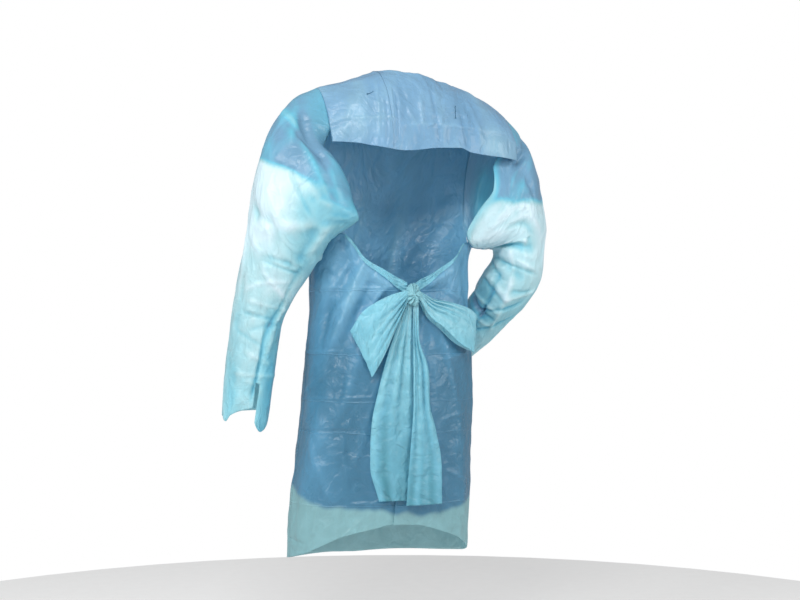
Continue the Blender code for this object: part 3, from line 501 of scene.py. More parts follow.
def front_grid(counts, columns):
    """Grid of the front panel. Its rows hang between the side edges, from the hem up to the neck hole."""
    rows = sum(counts)
    right_side, left_side = front_side(-1, counts), front_side(1, counts)
    neck_angle, neck_rise = neck_edge(np.linspace(1, 0, columns + 1), front=True)
    middle = np.concatenate([
        np.linspace(hem_rise(0), FRONT_WAIST, counts[0] + 1)[:-1],
        np.linspace(FRONT_WAIST, neck_rise.min(), rows - counts[0] + 1),
    ])
    across = np.linspace(0, 1, columns + 1)[None, :]
    upper = smooth_step((np.linspace(0, 1, rows + 1) - NECK_SHAPED) / (1 - NECK_SHAPED))[:, None]
    neck_across = (neck_angle - neck_angle[0]) / (neck_angle[-1] - neck_angle[0])
    neck_sag = (neck_rise - SHOULDER_RISE) / (neck_rise.min() - SHOULDER_RISE)
    place = across * (1 - upper) + neck_across * upper
    sag = smooth_step(1 - np.abs(2 * across - 1)) * (1 - upper) + neck_sag * upper
    angle = right_side[:, :1] + (left_side[:, :1] - right_side[:, :1]) * place
    sides = right_side[:, 1:] + (left_side[:, 1:] - right_side[:, 1:]) * place
    rise = sides + (middle - sides.mean(axis=1))[:, None] * sag
    rise = rise + (hem_rise(angle[:1]) - rise[:1]) * (1 - np.linspace(0, 1, rows + 1)[:, None]) ** 3
    return front_points(angle, rise), angle, rise


# Steps of each back wing from side to side, and from the hem up.
WING_COLUMNS = 15
WING_ROWS = 15


def wing_lift(side, angle, rise):
    """Lift of a back wing off the body tube; the right wing laps over the left one."""
    lift = body_fold_lift(BODY_FOLDS, angle, rise)
    return lift if side > 0 else lift + WING_LAP * smooth_step((LAP_START - angle) / LAP_FADE)


def wing_angles(side, columns):
    """Angles of a back wing's columns, from its first edge to its last as angles grow."""
    if side > 0:
        return np.linspace(SIDE_SEAM, LEFT_WING_END, columns + 1)
    return np.linspace(RIGHT_WING_END, 360 - SIDE_SEAM, columns + 1)


def wing_points(side, angle, rise):
    """Points of a back wing, a seam's gap behind the middle of the side."""
    points = body_lifted(angle, rise, wing_lift(side, angle, rise))
    points[..., 1] += WING_SEAM
    return points


def wing_top(side, angle):
    """Rise of a back wing's top edge."""
    return table_curve(WING_TOP_LEFT if side > 0 else WING_TOP_RIGHT, "rise", angle)


def wing_grid(side, columns, rows):
    """Grid of a back wing, from the hem up to the edge that runs down to the knot."""
    angle = wing_angles(side, columns)
    up = np.linspace(0, 1, rows + 1)[:, None]
    rise = hem_rise(angle) + (wing_top(side, angle) - hem_rise(angle)) * up
    angle = np.broadcast_to(angle, rise.shape)
    return wing_points(side, angle, rise), angle, rise


# How far the yoke's loose lower edge hangs off the body, by angle, and how that fades further up.
Hang = namedtuple("Hang", "angle lift")
YOKE_HANG = (
    Hang(100, 0.014),
    Hang(109, 0.011),
    Hang(118, 0.005),
    Hang(135, 0.008),
    Hang(160, 0.004),
    Hang(200, 0.005),
    Hang(225, 0.009),
    Hang(240, 0.010),
    Hang(249, 0.029),
    Hang(257, 0.042),
)
YOKE_FALL = 1.5
# The yoke's ends on the shoulder seams, by angle, its steps along the left seam, the neck hole and the
# right seam, and those from its lower edge up.
YOKE_TOP_LEFT = 100.5
YOKE_TOP_RIGHT = 259.5
YOKE_COLUMNS = (4, 10, 4)
YOKE_ROWS = 6


def yoke_lift(angle, rise, up):
    """Lift of the yoke, which hangs loose at its lower edge."""
    hang = table_curve(YOKE_HANG, "lift", angle) * (1 - up) ** YOKE_FALL
    return hang + body_fold_lift(YOKE_FOLDS, angle, rise)


def yoke_points(angle, rise, up, tuck=0.0):
    """Points of the yoke, a seam's gap behind the shoulder line, or of an edge tucked in below it."""
    points = body_lifted(angle, rise, yoke_lift(angle, rise, up) - tuck)
    points[..., 1] += YOKE_SEAM
    return points


def yoke_end(side, up, tuck):
    """Points of one end of the yoke, up running from its lower corner to the shoulder."""
    low = YOKE_LOW[0] if side > 0 else YOKE_LOW[-1]
    top = YOKE_TOP_LEFT if side > 0 else YOKE_TOP_RIGHT
    angle = low.angle + (top - low.angle) * up
    rise = low.rise + (SHOULDER_RISE - low.rise) * up
    return yoke_points(angle, rise, up, tuck)


def yoke_grid(counts, rows):
    """Grid of the back yoke, from its loose lower edge up to the shoulder seams and the neck hole."""
    left_steps, neck_steps, right_steps = counts
    neck_angle, neck_rise = neck_edge(np.linspace(0, 1, neck_steps + 1), front=False)
    left_seam = np.linspace(YOKE_TOP_LEFT, neck_angle[0], left_steps + 1)[:-1]
    right_seam = np.linspace(neck_angle[-1], YOKE_TOP_RIGHT, right_steps + 1)[1:]
    top_angle = np.concatenate([left_seam, neck_angle, right_seam])
    top_rise = np.concatenate([
        np.full(left_steps, SHOULDER_RISE), neck_rise, np.full(right_steps, SHOULDER_RISE),
    ])
    share = (top_angle - YOKE_TOP_LEFT) / (YOKE_TOP_RIGHT - YOKE_TOP_LEFT)
    low_angle = YOKE_LOW[0].angle + share * (YOKE_LOW[-1].angle - YOKE_LOW[0].angle)
    low_rise = table_curve(YOKE_LOW, "rise", low_angle)
    up = np.linspace(0, 1, rows + 1)[:, None]
    angle = low_angle + (top_angle - low_angle) * up
    rise = low_rise + (top_rise - low_rise) * up
    return yoke_points(angle, rise, up), angle, rise


# Sleeves. Each row is a section across the sleeve: its outer point, its inner point on the underside and
# half of its depth from front to back. The first row is the armhole and the last one the cuff.
Sleeve = namedtuple("Sleeve", "outer inner half_depth")
SLEEVE_LEFT = (
    Sleeve((0.2065, 0.000, -0.042), (0.150, 0.128, -0.346), 0.085),
    Sleeve((0.250, 0.000, -0.064), (0.178, 0.137, -0.352), 0.088),
    Sleeve((0.280, 0.000, -0.097), (0.203, 0.132, -0.362), 0.090),
    Sleeve((0.313, 0.000, -0.159), (0.217, 0.118, -0.386), 0.090),
    Sleeve((0.332, 0.000, -0.226), (0.228, 0.105, -0.416), 0.088),
    Sleeve((0.350, 0.000, -0.300), (0.236, 0.080, -0.450), 0.082),
    Sleeve((0.368, 0.000, -0.385), (0.249, 0.052, -0.488), 0.076),
    Sleeve((0.385, 0.000, -0.465), (0.268, 0.026, -0.528), 0.070),
    Sleeve((0.398, 0.000, -0.545), (0.288, 0.008, -0.578), 0.064),
    Sleeve((0.408, 0.000, -0.625), (0.297, 0.000, -0.640), 0.060),
    Sleeve((0.415, -0.004, -0.700), (0.303, -0.006, -0.702), 0.056),
    Sleeve((0.4185, -0.008, -0.775), (0.314, -0.010, -0.775), 0.050),
)
SLEEVE_RIGHT = (
    Sleeve((-0.2475, 0.000, -0.076), (-0.128, 0.104, -0.386), 0.076),
    Sleeve((-0.278, 0.000, -0.108), (-0.150, 0.082, -0.402), 0.078),
    Sleeve((-0.307, 0.004, -0.150), (-0.172, 0.060, -0.405), 0.080),
    Sleeve((-0.329, 0.012, -0.210), (-0.194, 0.045, -0.404), 0.080),
    Sleeve((-0.3416, 0.022, -0.280), (-0.213, 0.032, -0.400), 0.078),
    Sleeve((-0.352, 0.034, -0.350), (-0.226, 0.018, -0.400), 0.074),
    Sleeve((-0.3475, 0.044, -0.420), (-0.232, 0.006, -0.412), 0.068),
    Sleeve((-0.340, 0.042, -0.482), (-0.231, -0.008, -0.436), 0.062),
    Sleeve((-0.313, 0.020, -0.540), (-0.218, -0.032, -0.470), 0.058),
    Sleeve((-0.277, -0.014, -0.586), (-0.214, -0.058, -0.503), 0.054),
    Sleeve((-0.249, -0.048, -0.624), (-0.199, -0.086, -0.537), 0.050),
    Sleeve((-0.218, -0.080, -0.657), (-0.178, -0.110, -0.572), 0.046),
)
# The loose back edge of each sleeve, by its share of the way round the armhole.
Loose = namedtuple("Loose", "share place")
LOOSE_LEFT = (
    Loose(0.175, (0.2060, 0.0660, -0.190)),
    Loose(0.210, (0.1900, 0.0840, -0.209)),
    Loose(0.250, (0.1750, 0.1000, -0.232)),
    Loose(0.295, (0.1620, 0.1150, -0.270)),
    Loose(0.340, (0.1570, 0.1250, -0.306)),
    Loose(0.385, (0.1490, 0.1360, -0.340)),
    Loose(0.420, (0.1500, 0.1260, -0.352)),
    Loose(0.455, (0.1700, 0.1020, -0.370)),
)
LOOSE_RIGHT = (
    Loose(0.180, (-0.2140, 0.0660, -0.198)),
    Loose(0.235, (-0.2040, 0.0880, -0.250)),
    Loose(0.270, (-0.1980, 0.0910, -0.276)),
    Loose(0.320, (-0.1640, 0.1010, -0.314)),
    Loose(0.375, (-0.1275, 0.1110, -0.366)),
    Loose(0.420, (-0.1300, 0.1050, -0.387)),
)
# Shares of the way round the armhole where the yoke's end, the loose edge, the wing and the front meet.
YOKE_SHARE = 0.140
YOKE_JOIN = 5 / 6
WING_SHARE = 0.500
UNDERARM_SHARE = 0.600
WING_STEPS = 4
# The middle of the underside, by its share of the way round.
INNER_SHARE = 0.430
# Shares of the way down over which the armhole's form passes into the sections, on the whole sleeve and
# on its underside, and how far that underside spreads to the back and to the front.
SHOULDER_BLEND = 0.42
UNDER_END = 0.52
UNDER_SPREAD_BACK = 0.15
UNDER_SPREAD_FRONT = 0.18
# The sleeve's gap over the body, its lap over the armhole and its tuck below the yoke's end.
SLEEVE_GAP = 0.0008
SLEEVE_LAP = 0.0030
SLEEVE_TUCK = 0.0060
# Height below the chest over which the gap comes in, and share of the sleeve over which its folds do.
CLEAR_FADE = 0.020
FOLD_FADE = 0.120
# How much lower each part of the cuff's edge hangs than its section, by share of the way round.
Cuff = namedtuple("Cuff", "share drop")
CUFF = (
    Cuff(0.000, 0.010),
    Cuff(0.045, 0.020),
    Cuff(0.080, 0.006),
    Cuff(0.140, -0.005),
    Cuff(0.215, -0.012),
    Cuff(0.240, 0.026),
    Cuff(0.285, 0.043),
    Cuff(0.335, 0.032),
    Cuff(0.380, 0.012),
    Cuff(0.450, 0.002),
    Cuff(0.700, 0.006),
    Cuff(1.000, 0.010),
)
# Shares of the way down where the cuff's edge starts to shape the rows and where the thumb slit starts,
# and the shares of the way round that the slit lies between.
CUFF_START = 0.90
THUMB_SLIT_START = 0.915
THUMB_SLIT = (0.215, 0.235)
# Places of a sleeve's columns round it. The corners of its seams and both sides of the slit are among
# them, and there are as many along each seam as its neighbour has there.
SLEEVE_TURNS = steps(
    (0, YOKE_SHARE, YOKE_ROWS),
    (YOKE_SHARE, THUMB_SLIT[0], 2),
    (THUMB_SLIT[0], THUMB_SLIT[1], 1),
    (THUMB_SLIT[1], WING_SHARE, 5),
    (WING_SHARE, UNDERARM_SHARE, WING_STEPS),
    (UNDERARM_SHARE, 1, FRONT_ROWS[1]),
)
SLEEVE_ROWS = 17
# Folds of the sleeves. Their angles run round the sleeve and their rises down it from the armhole.
LEFT_SLEEVE_FOLDS = (
    Fold(36, 0.085, 92, 0.060, -0.010, 0.016),
    Fold(60, 0.110, 20, 0.135, 0.006, 0.016),
    Fold(90, 0.300, 40, 0.340, -0.005, 0.014),
    Fold(300, 0.240, 340, 0.420, -0.007, 0.022),
    Fold(250, 0.330, 290, 0.520, 0.006, 0.022),
    Fold(104, 0.131, 119, 0.076, -0.0040, 0.006),
    Fold(110, 0.142, 124, 0.109, 0.0035, 0.006),
    Fold(65, 0.405, 116, 0.362, -0.0040, 0.007),
    Fold(69, 0.429, 118, 0.471, 0.0035, 0.008),
    Fold(46, 0.397, 113, 0.239, 0.0030, 0.009),
    Fold(43, 0.511, 128, 0.498, 0.0024, 0.005),
    Fold(55, 0.570, 123, 0.535, -0.0030, 0.007),
    Fold(45, 0.609, 105, 0.636, 0.0028, 0.006),
    Fold(65, 0.234, 65, 0.348, 0.0030, 0.011),
    Fold(81, 0.163, 118, 0.185, -0.0035, 0.008),
    Fold(74, 0.054, 112, 0.070, 0.0030, 0.007),
    Fold(64, 0.101, 119, 0.104, 0.0034, 0.008),
    Fold(93, 0.298, 141, 0.160, 0.0034, 0.008),
    Fold(55, 0.671, 94, 0.693, 0.0022, 0.005),
    Fold(87, 0.585, 70, 0.715, -0.0026, 0.006),
    Fold(99, 0.244, 72, 0.474, -0.0024, 0.008),
    Fold(26, 0.300, 20, 0.520, 0.0024, 0.008),
    Fold(205, 0.200, 160, 0.300, 0.0036, 0.010),
    Fold(170, 0.360, 230, 0.420, -0.0036, 0.009),
    Fold(240, 0.470, 180, 0.560, 0.0030, 0.008),
    Fold(330, 0.300, 280, 0.360, 0.0034, 0.009),
    Fold(350, 0.480, 290, 0.450, -0.0030, 0.008),
    Fold(320, 0.560, 260, 0.610, 0.0028, 0.007),
    # The fold of the cap, and the crease down the inside of the forearm.
    Fold(38, 0.135, 84, 0.056, -0.0065, 0.007),
    Fold(44, 0.118, 90, 0.040, 0.0050, 0.009),
    Fold(130, 0.360, 112, 0.503, -0.0045, 0.006),
    Fold(114, 0.490, 86, 0.580, -0.0055, 0.005),
    Fold(86, 0.560, 72, 0.725, -0.0055, 0.005),
    Fold(122, 0.480, 92, 0.620, 0.0040, 0.007),
    Fold(110, 0.104, 122, 0.030, -0.0034, 0.0045),
    Fold(104, 0.143, 118, 0.044, 0.0030, 0.0045),
    Fold(108, 0.163, 130, 0.030, -0.0034, 0.0045),
    Fold(119, 0.274, 152, 0.050, -0.0036, 0.0055),
    Fold(67, 0.412, 128, 0.378, -0.0034, 0.0045),
    Fold(38, 0.493, 117, 0.414, 0.0028, 0.0050),
    Fold(37, 0.538, 100, 0.533, -0.0030, 0.0045),
    Fold(24, 0.575, 81, 0.596, -0.0028, 0.0045),
    Fold(24, 0.659, 134, 0.664, 0.0024, 0.0045),
    Fold(134, 0.205, 124, 0.345, -0.0036, 0.0060),
    Fold(145, 0.123, 137, 0.290, 0.0034, 0.0060),
    Fold(61, 0.190, 84, 0.140, -0.0026, 0.0050),
    Fold(132, 0.123, 140, 0.037, -0.0032, 0.0045),
)
RIGHT_SLEEVE_FOLDS = (
    Fold(60, 0.060, 18, 0.120, -0.010, 0.016),
    Fold(150, 0.330, 60, 0.390, -0.011, 0.013),
    Fold(140, 0.420, 60, 0.470, -0.006, 0.014),
    Fold(130, 0.500, 50, 0.540, 0.006, 0.013),
    Fold(150, 0.590, 60, 0.620, -0.006, 0.013),
    Fold(300, 0.240, 340, 0.420, -0.007, 0.022),
    Fold(155, 0.444, 95, 0.493, -0.0050, 0.006),
    Fold(104, 0.380, 66, 0.513, 0.0040, 0.007),
    Fold(120, 0.520, 58, 0.545, -0.0045, 0.006),
    Fold(126, 0.577, 50, 0.577, 0.0040, 0.006),
    Fold(132, 0.612, 40, 0.602, -0.0045, 0.006),
    Fold(116, 0.650, 40, 0.622, 0.0036, 0.006),
    Fold(66, 0.511, 30, 0.496, -0.0030, 0.005),
    Fold(74, 0.340, 52, 0.402, -0.0040, 0.006),
    Fold(82, 0.345, 66, 0.410, 0.0036, 0.006),
    Fold(103, 0.084, 65, 0.271, 0.0030, 0.008),
    Fold(118, 0.100, 68, 0.358, -0.0030, 0.009),
    Fold(72, 0.110, 63, 0.242, 0.0026, 0.007),
    Fold(131, 0.100, 109, 0.190, 0.0034, 0.007),
    Fold(85, 0.419, 42, 0.439, 0.0030, 0.006),
    Fold(160, 0.260, 110, 0.320, 0.0034, 0.008),
    Fold(46, 0.104, 80, 0.070, 0.0036, 0.008),
    Fold(20, 0.200, 14, 0.420, 0.0028, 0.009),
    Fold(200, 0.300, 170, 0.460, -0.0034, 0.009),
    Fold(330, 0.300, 280, 0.360, 0.0034, 0.009),
    Fold(350, 0.480, 290, 0.450, -0.0030, 0.008),
    Fold(320, 0.560, 260, 0.610, 0.0028, 0.007),
    # Creases across the bend of the elbow and down the forearm.
    Fold(119, 0.437, 34, 0.450, -0.0040, 0.0050),
    Fold(89, 0.614, 28, 0.522, -0.0045, 0.0050),
    Fold(66, 0.676, 14, 0.570, -0.0045, 0.0050),
    Fold(71, 0.540, 16, 0.488, 0.0036, 0.0050),
    Fold(132, 0.109, 51, 0.385, -0.0030, 0.0060),
    Fold(109, 0.158, 49, 0.338, 0.0028, 0.0060),
    Fold(104, 0.040, 90, 0.190, -0.0030, 0.0050),
    Fold(72, 0.634, 105, 0.470, -0.0045, 0.0050),
    Fold(36, 0.631, 79, 0.483, 0.0040, 0.0055),
    Fold(61, 0.698, 93, 0.530, -0.0040, 0.0050),
    Fold(57, 0.049, 61, 0.229, -0.0040, 0.0060),
)


def station_curve(values, station):
    """Smooth curve through a sleeve table's values, station running from 0 to 1."""
    values = np.array(values, float)
    places = np.linspace(0, 1, len(values))
    slopes = np.gradient(values, places, axis=0)
    if values.ndim == 1:
        return hermite(places, values, slopes, station)
    return np.stack([hermite(places, values[:, i], slopes[:, i], station) for i in range(3)], axis=-1)


def armhole_ring(side, turns):
    """Edge of a sleeve at the armhole: yoke end, loose back edge, wing edge and front seam in turn."""
    loose = LOOSE_LEFT if side > 0 else LOOSE_RIGHT
    join = YOKE_SHARE * YOKE_JOIN
    wing_end = wing_angles(side, WING_COLUMNS)[::side][WING_STEPS]
    seam_angle = SIDE_SEAM if side > 0 else 360 - SIDE_SEAM
    wing_angle = np.interp(turns, [WING_SHARE, UNDERARM_SHARE], [wing_end, seam_angle])
    on_wing = wing_points(side, wing_angle, wing_top(side, wing_angle))
    down = np.minimum(turns / YOKE_SHARE, YOKE_JOIN)
    on_yoke = yoke_end(side, 1 - down, SLEEVE_TUCK * down**2)
    front_share = (turns - UNDERARM_SHARE) / (1 - UNDERARM_SHARE)
    on_front = front_points(*armhole(np.clip(front_share, 0, 1), side))
    shares = np.array([join, *(row.share for row in loose), WING_SHARE])
    places = np.array([on_yoke[-1], *(row.place for row in loose), on_wing[0]])
    slopes = np.gradient(places, shares, axis=0)
    ring = np.stack([hermite(shares, places[:, i], slopes[:, i], turns) for i in range(3)], axis=-1)
    ring = np.where((turns <= join)[:, None], on_yoke, ring)
    ring = np.where((turns >= WING_SHARE)[:, None], on_wing, ring)
    ring = np.where((turns > UNDERARM_SHARE)[:, None], on_front, ring)
    ring[0] = ring[-1] = (ring[0] + ring[-1]) / 2
    return ring


def clear_of_body(points, gap):
    """Points moved straight out from the body tube wherever they are nearer to it than the gap."""
    height = np.minimum(points[..., 2], CHEST_TOP)
    centre_x = table_curve(BODY, "centre_x", height)
    x, y = points[..., 0] - centre_x, points[..., 1]
    angle = np.degrees(np.arctan2(x, -y))
    wall_x, wall_y = ring_point(angle, height)
    wall = np.hypot(wall_x - centre_x, wall_y) + body_fold_lift(BODY_FOLDS, angle, height) + gap
    below = smooth_step((CHEST_TOP - points[..., 2]) / CLEAR_FADE)
    push = np.maximum(wall / np.hypot(x, y), 1)
    push = 1 + (push - 1) * below
    return np.stack([centre_x + x * push, y * push, points[..., 2]], axis=-1)


def grid_normals(points):
    """Unit normals of a tube's grid of points, whose last column repeats its first."""
    ring = np.concatenate([points[:, -2:-1], points, points[:, 1:2]], axis=1)
    normals = np.cross(ring[:, 2:] - ring[:, :-2], np.gradient(points, axis=0))
    return normals / np.linalg.norm(normals, axis=-1, keepdims=True)


def sleeve_grid(side, turns, rows):
    """Grid of a sleeve, with columns round it and rows from the armhole to the cuff, and its lift."""
    table = SLEEVE_LEFT if side > 0 else SLEEVE_RIGHT
    folds = LEFT_SLEEVE_FOLDS if side > 0 else RIGHT_SLEEVE_FOLDS
    station = np.linspace(0, 1, rows + 1)
    outer = station_curve([row.outer for row in table], station)
    inner = station_curve([row.inner for row in table], station)
    half_depth = station_curve([row.half_depth for row in table], station)
    centre, outward = (outer + inner) / 2, (outer - inner) / 2
    travel = np.gradient(centre, axis=0)
    travel /= np.linalg.norm(travel, axis=1, keepdims=True)
    back = side * np.cross(outward, travel)
    back *= (half_depth / np.linalg.norm(back, axis=1))[:, None]
    turn = np.radians(np.interp(turns, [0, INNER_SHARE, 1], [0, 180, 360]))[None, :, None]
    section = centre[:, None] + outward[:, None] * np.cos(turn) + back[:, None] * np.sin(turn)
    ring = armhole_ring(side, turns)
    hold = (1 - np.clip(station / SHOULDER_BLEND, 0, 1))[:, None, None] ** 3
    points = section + hold * (ring - section[0])
    # On the underside the film runs straight from the armhole out to the sleeve.
    last = np.searchsorted(station, UNDER_END)
    straight = section.copy()
    straight[:last] = ring + (section[last] - ring) * (station[:last, None, None] / station[last])
    spread = np.where(turns > UNDERARM_SHARE, UNDER_SPREAD_FRONT, UNDER_SPREAD_BACK)
    under = np.exp(-(((turns - UNDERARM_SHARE) / spread) ** 2))[None, :, None]
    points = points + (straight - points) * under
    points[:, -1] = points[:, 0]
    lower = smooth_step((station - CUFF_START) / (1 - CUFF_START))[:, None, None]
    points = points + travel[:, None] * table_curve(CUFF, "drop", turns)[None, :, None] * lower
    lead = points[1] - points[0]
    points[0] -= lead * (SLEEVE_LAP / np.linalg.norm(lead, axis=1))[:, None]
    if side > 0:
        points = points[:, ::-1]
        turns = turns[::-1]
    round_sleeve, down_sleeve = turns[None, :] * 360, station[:, None] * SLEEVE_LENGTH
    lift = fold_lift(folds, round_sleeve, down_sleeve, SLEEVE_ARC)
    lift = lift + sleeve_crumple(round_sleeve, down_sleeve, LEFT_SEED if side > 0 else RIGHT_SEED)
    lift = lift * smooth_step(station / FOLD_FADE)[:, None]
    return clear_of_body(points + grid_normals(points) * lift[..., None], SLEEVE_GAP), lift


# The bow: a knot over the meeting of the two ties, a loop and a loose tail on each side.
KNOT_PLACE = (180.5, -0.514)
KNOT_LIFT = 0.0290
KNOT_RADII = (0.0205, 0.0155, 0.0265)
# How much narrower the knot is at its top, from this height on its unit ball and over this much of it.
KNOT_NARROW = 0.18
KNOT_NARROW_START = -0.2
KNOT_NARROW_RISE = 1.2
# The folds drawn into it: how deep, how sharp, how many, how twisted and uneven, where they start and
# how much they draw its outline in.
KNOT_PINCH = 0.45
KNOT_GROOVE = 1.5
KNOT_FOLD_COUNT = 7
KNOT_TWIST = 1.6
KNOT_UNEVEN = 0.30
KNOT_FOLD_START = 0.3
KNOT_DRAW = 0.4
# The dimple in its middle: how deep and how wide.
KNOT_DIMPLE = 0.28
KNOT_DIMPLE_SIZE = 0.28

# A loop starts this far inside the knot, over these shares of its half thickness and half height.
ROOT_GAP = -0.0060
ROOT_THICK = 0.18
ROOT_SPREAD = 0.40
# The ties: half of their width by the share of the way to the knot, and the angles they run between.
TieWidth = namedtuple("TieWidth", "share half_width")
TIE_WIDTHS = (
    TieWidth(0.0, 0.0035),
    TieWidth(0.4, 0.0060),
    TieWidth(0.7, 0.0095),
    TieWidth(0.9, 0.0125),
    TieWidth(1.0, 0.0090),
)
TIE_LEFT = (122.0, 177.0)
TIE_RIGHT = (237.0, 184.0)
TIE_COLUMNS = 14
TIE_ROWS = 5
# How far a tie's middle sits below the wing's edge, in half widths, the depth and number of its gathers,
# how far and how often these drift, and the tie's rise off the wing towards the knot.
TIE_SEAT = 0.35
TIE_GATHER = 0.0018
TIE_FOLDS = 3
TIE_DRIFT = 1.2
TIE_WAVES = 9
TIE_OVER = 0.0095
TIE_OVER_START = 0.75
# Sections of each loop from the knot, reach 0, to its tip: where its upper and lower edges are, how far
# its middle is off the body and half of its thickness.
LoopRow = namedtuple("LoopRow", "reach upper_angle upper_rise lower_angle lower_rise lift half_thick")
LOOP_LEFT = (
    LoopRow(0.00, 168.5, -0.503, 168.5, -0.529, 0.024, 0.0030),
    LoopRow(0.25, 160.0, -0.512, 166.0, -0.566, 0.024, 0.0090),
    LoopRow(0.50, 148.0, -0.530, 159.5, -0.616, 0.024, 0.0140),
    LoopRow(0.75, 139.0, -0.552, 153.0, -0.662, 0.024, 0.0160),
    LoopRow(1.00, 131.5, -0.596, 147.5, -0.696, 0.024, 0.0160),
)
LOOP_RIGHT = (
    LoopRow(0.00, 192.5, -0.503, 192.5, -0.529, 0.024, 0.0030),
    LoopRow(0.25, 203.0, -0.523, 198.0, -0.566, 0.024, 0.0090),
    LoopRow(0.50, 216.0, -0.531, 208.0, -0.592, 0.024, 0.0130),
    LoopRow(0.75, 231.0, -0.544, 221.0, -0.625, 0.024, 0.0140),
    LoopRow(1.00, 245.0, -0.566, 237.5, -0.648, 0.024, 0.0140),
)
LOOP_COLUMNS = 18
LOOP_ROWS = 6
# The pleats of a loop: their depth and number, how they bunch on its drawn side and how shallow they are
# on the other, how fast they die towards the tip, by side, and where they and the crumple start.
LOOP_PLEAT = 0.0050
LOOP_PLEATS = 4.2
LOOP_BUNCH = 1.9
LOOP_PLEAT_LOW = 0.3
LOOP_PLEAT_FADE = {1: 0.45, -1: 0.8}
LOOP_PLEAT_START = 0.20
LOOP_CRUMPLE_START = 0.3
# A loop's length and width, for its crumple.
LOOP_LENGTH = 0.30
LOOP_WIDTH = 0.10
# Rows of each tail from its lower end up to the knot: the angles of its edges and its lift.
TailRow = namedtuple("TailRow", "rise left right lift")
TAIL_LEFT = (
    TailRow(-0.970, 158.0, 182.0, 0.0170),
    TailRow(-0.945, 155.0, 182.5, 0.0165),
    TailRow(-0.898, 150.0, 183.0, 0.0160),
    TailRow(-0.800, 148.5, 182.5, 0.0160),
    TailRow(-0.728, 152.0, 182.0, 0.0165),
    TailRow(-0.638, 159.5, 181.0, 0.0190),
    TailRow(-0.580, 167.5, 180.5, 0.0225),
    TailRow(-0.5342, 174.5, 180.2, 0.0255),
)
TAIL_RIGHT = (
    TailRow(-0.980, 179.5, 210.0, 0.0270),
    TailRow(-0.886, 179.5, 207.0, 0.0265),
    TailRow(-0.814, 179.5, 200.5, 0.0265),
    TailRow(-0.760, 179.5, 195.0, 0.0270),
    TailRow(-0.680, 179.0, 193.0, 0.0280),
    TailRow(-0.610, 179.5, 185.5, 0.0280),
    TailRow(-0.5347, 180.8, 186.5, 0.0275),
)
TAIL_COLUMNS = 9
TAIL_ROWS = 13
# The pleats of a tail: their number, phase and depth, the share of it left at the lower end, how far up
# they are full, and the power of the way up by which they close at the knot.
TAIL_PLEATS = 2.5
TAIL_PLEAT_START = 0.6
TAIL_PLEAT_DEPTH = 0.0035
TAIL_PLEAT_LOW = 0.18
TAIL_PLEAT_FULL = 0.7
TAIL_CLOSE = 4
# The finer gathers below the knot: cells across and up the tail, depth, start, rise and closing power.
TAIL_FINE = (9.0, 2.0)
TAIL_FINE_DEPTH = 0.0042
TAIL_FINE_START = 0.30
TAIL_FINE_RISE = 0.5
TAIL_FINE_CLOSE = 6
# A tail's width and length, for its crumple.
TAIL_WIDTH = 0.08
TAIL_LENGTH = 0.43


def knot_centre():
    """Middle of the bow's knot."""
    return body_lifted(KNOT_PLACE[0], KNOT_PLACE[1], KNOT_LIFT)


def knot_shape(ball):
    """Shape of the knot over points of a unit ball: narrower at the top, with the folds drawn into it."""
    x, y, z = ball[..., 0], ball[..., 1], ball[..., 2]
    narrow = 1 - KNOT_NARROW * smooth_step((z - KNOT_NARROW_START) / KNOT_NARROW_RISE)
    out = np.hypot(x, z)
    turn = np.arctan2(x, z)
    turn = turn + KNOT_UNEVEN * np.sin(2 * turn + 1) + KNOT_UNEVEN / 2 * np.sin(3 * turn)
    ridge = np.abs(np.sin(KNOT_FOLD_COUNT * turn / 2 + KNOT_TWIST * out))
    groove = KNOT_PINCH * (1 - ridge) ** KNOT_GROOVE * smooth_step(out / KNOT_FOLD_START)
    dimple = 1 - KNOT_DIMPLE * np.exp(-((out / KNOT_DIMPLE_SIZE) ** 2))
    draw = 1 - KNOT_DRAW * groove
    shape = np.stack([x * narrow * draw, y * (1 - groove) * dimple, z * draw], axis=-1)
    return knot_centre() + shape * np.array(KNOT_RADII)


def tie_grid(side, columns, rows):
    """Grid of a gathered tie, which lies on the top edge of its wing from the side to the knot."""
    start, end = TIE_LEFT if side > 0 else TIE_RIGHT
    share = np.linspace(0, 1, columns + 1)
    angle = start + (end - start) * share
    top = wing_top(side, angle)
    half_width = table_curve(TIE_WIDTHS, "half_width", share)
    across = np.linspace(-1, 1, rows + 1)[:, None]
    rise = top + half_width * (across - TIE_SEAT)
    angle = np.broadcast_to(angle, rise.shape)
    drift = TIE_DRIFT * lattice_noise(share * TIE_WAVES, 0 * share + NOISE_ROW, TAIL_SEED)
    gather = TIE_GATHER * share * (1 - np.cos(np.pi * (TIE_FOLDS * across + drift))) / 2
    over = TIE_OVER * smooth_step((share - TIE_OVER_START) / (1 - TIE_OVER_START))
    lift = wing_lift(side, angle, rise) + LAP + gather + over
    points = body_lifted(angle, rise, lift)
    return points if side > 0 else points[:, ::-1]


def sheet_normals(points):
    """Unit normals of an open sheet's grid of points."""
    normals = np.cross(np.gradient(points, axis=1), np.gradient(points, axis=0))
    return normals / np.linalg.norm(normals, axis=-1, keepdims=True)


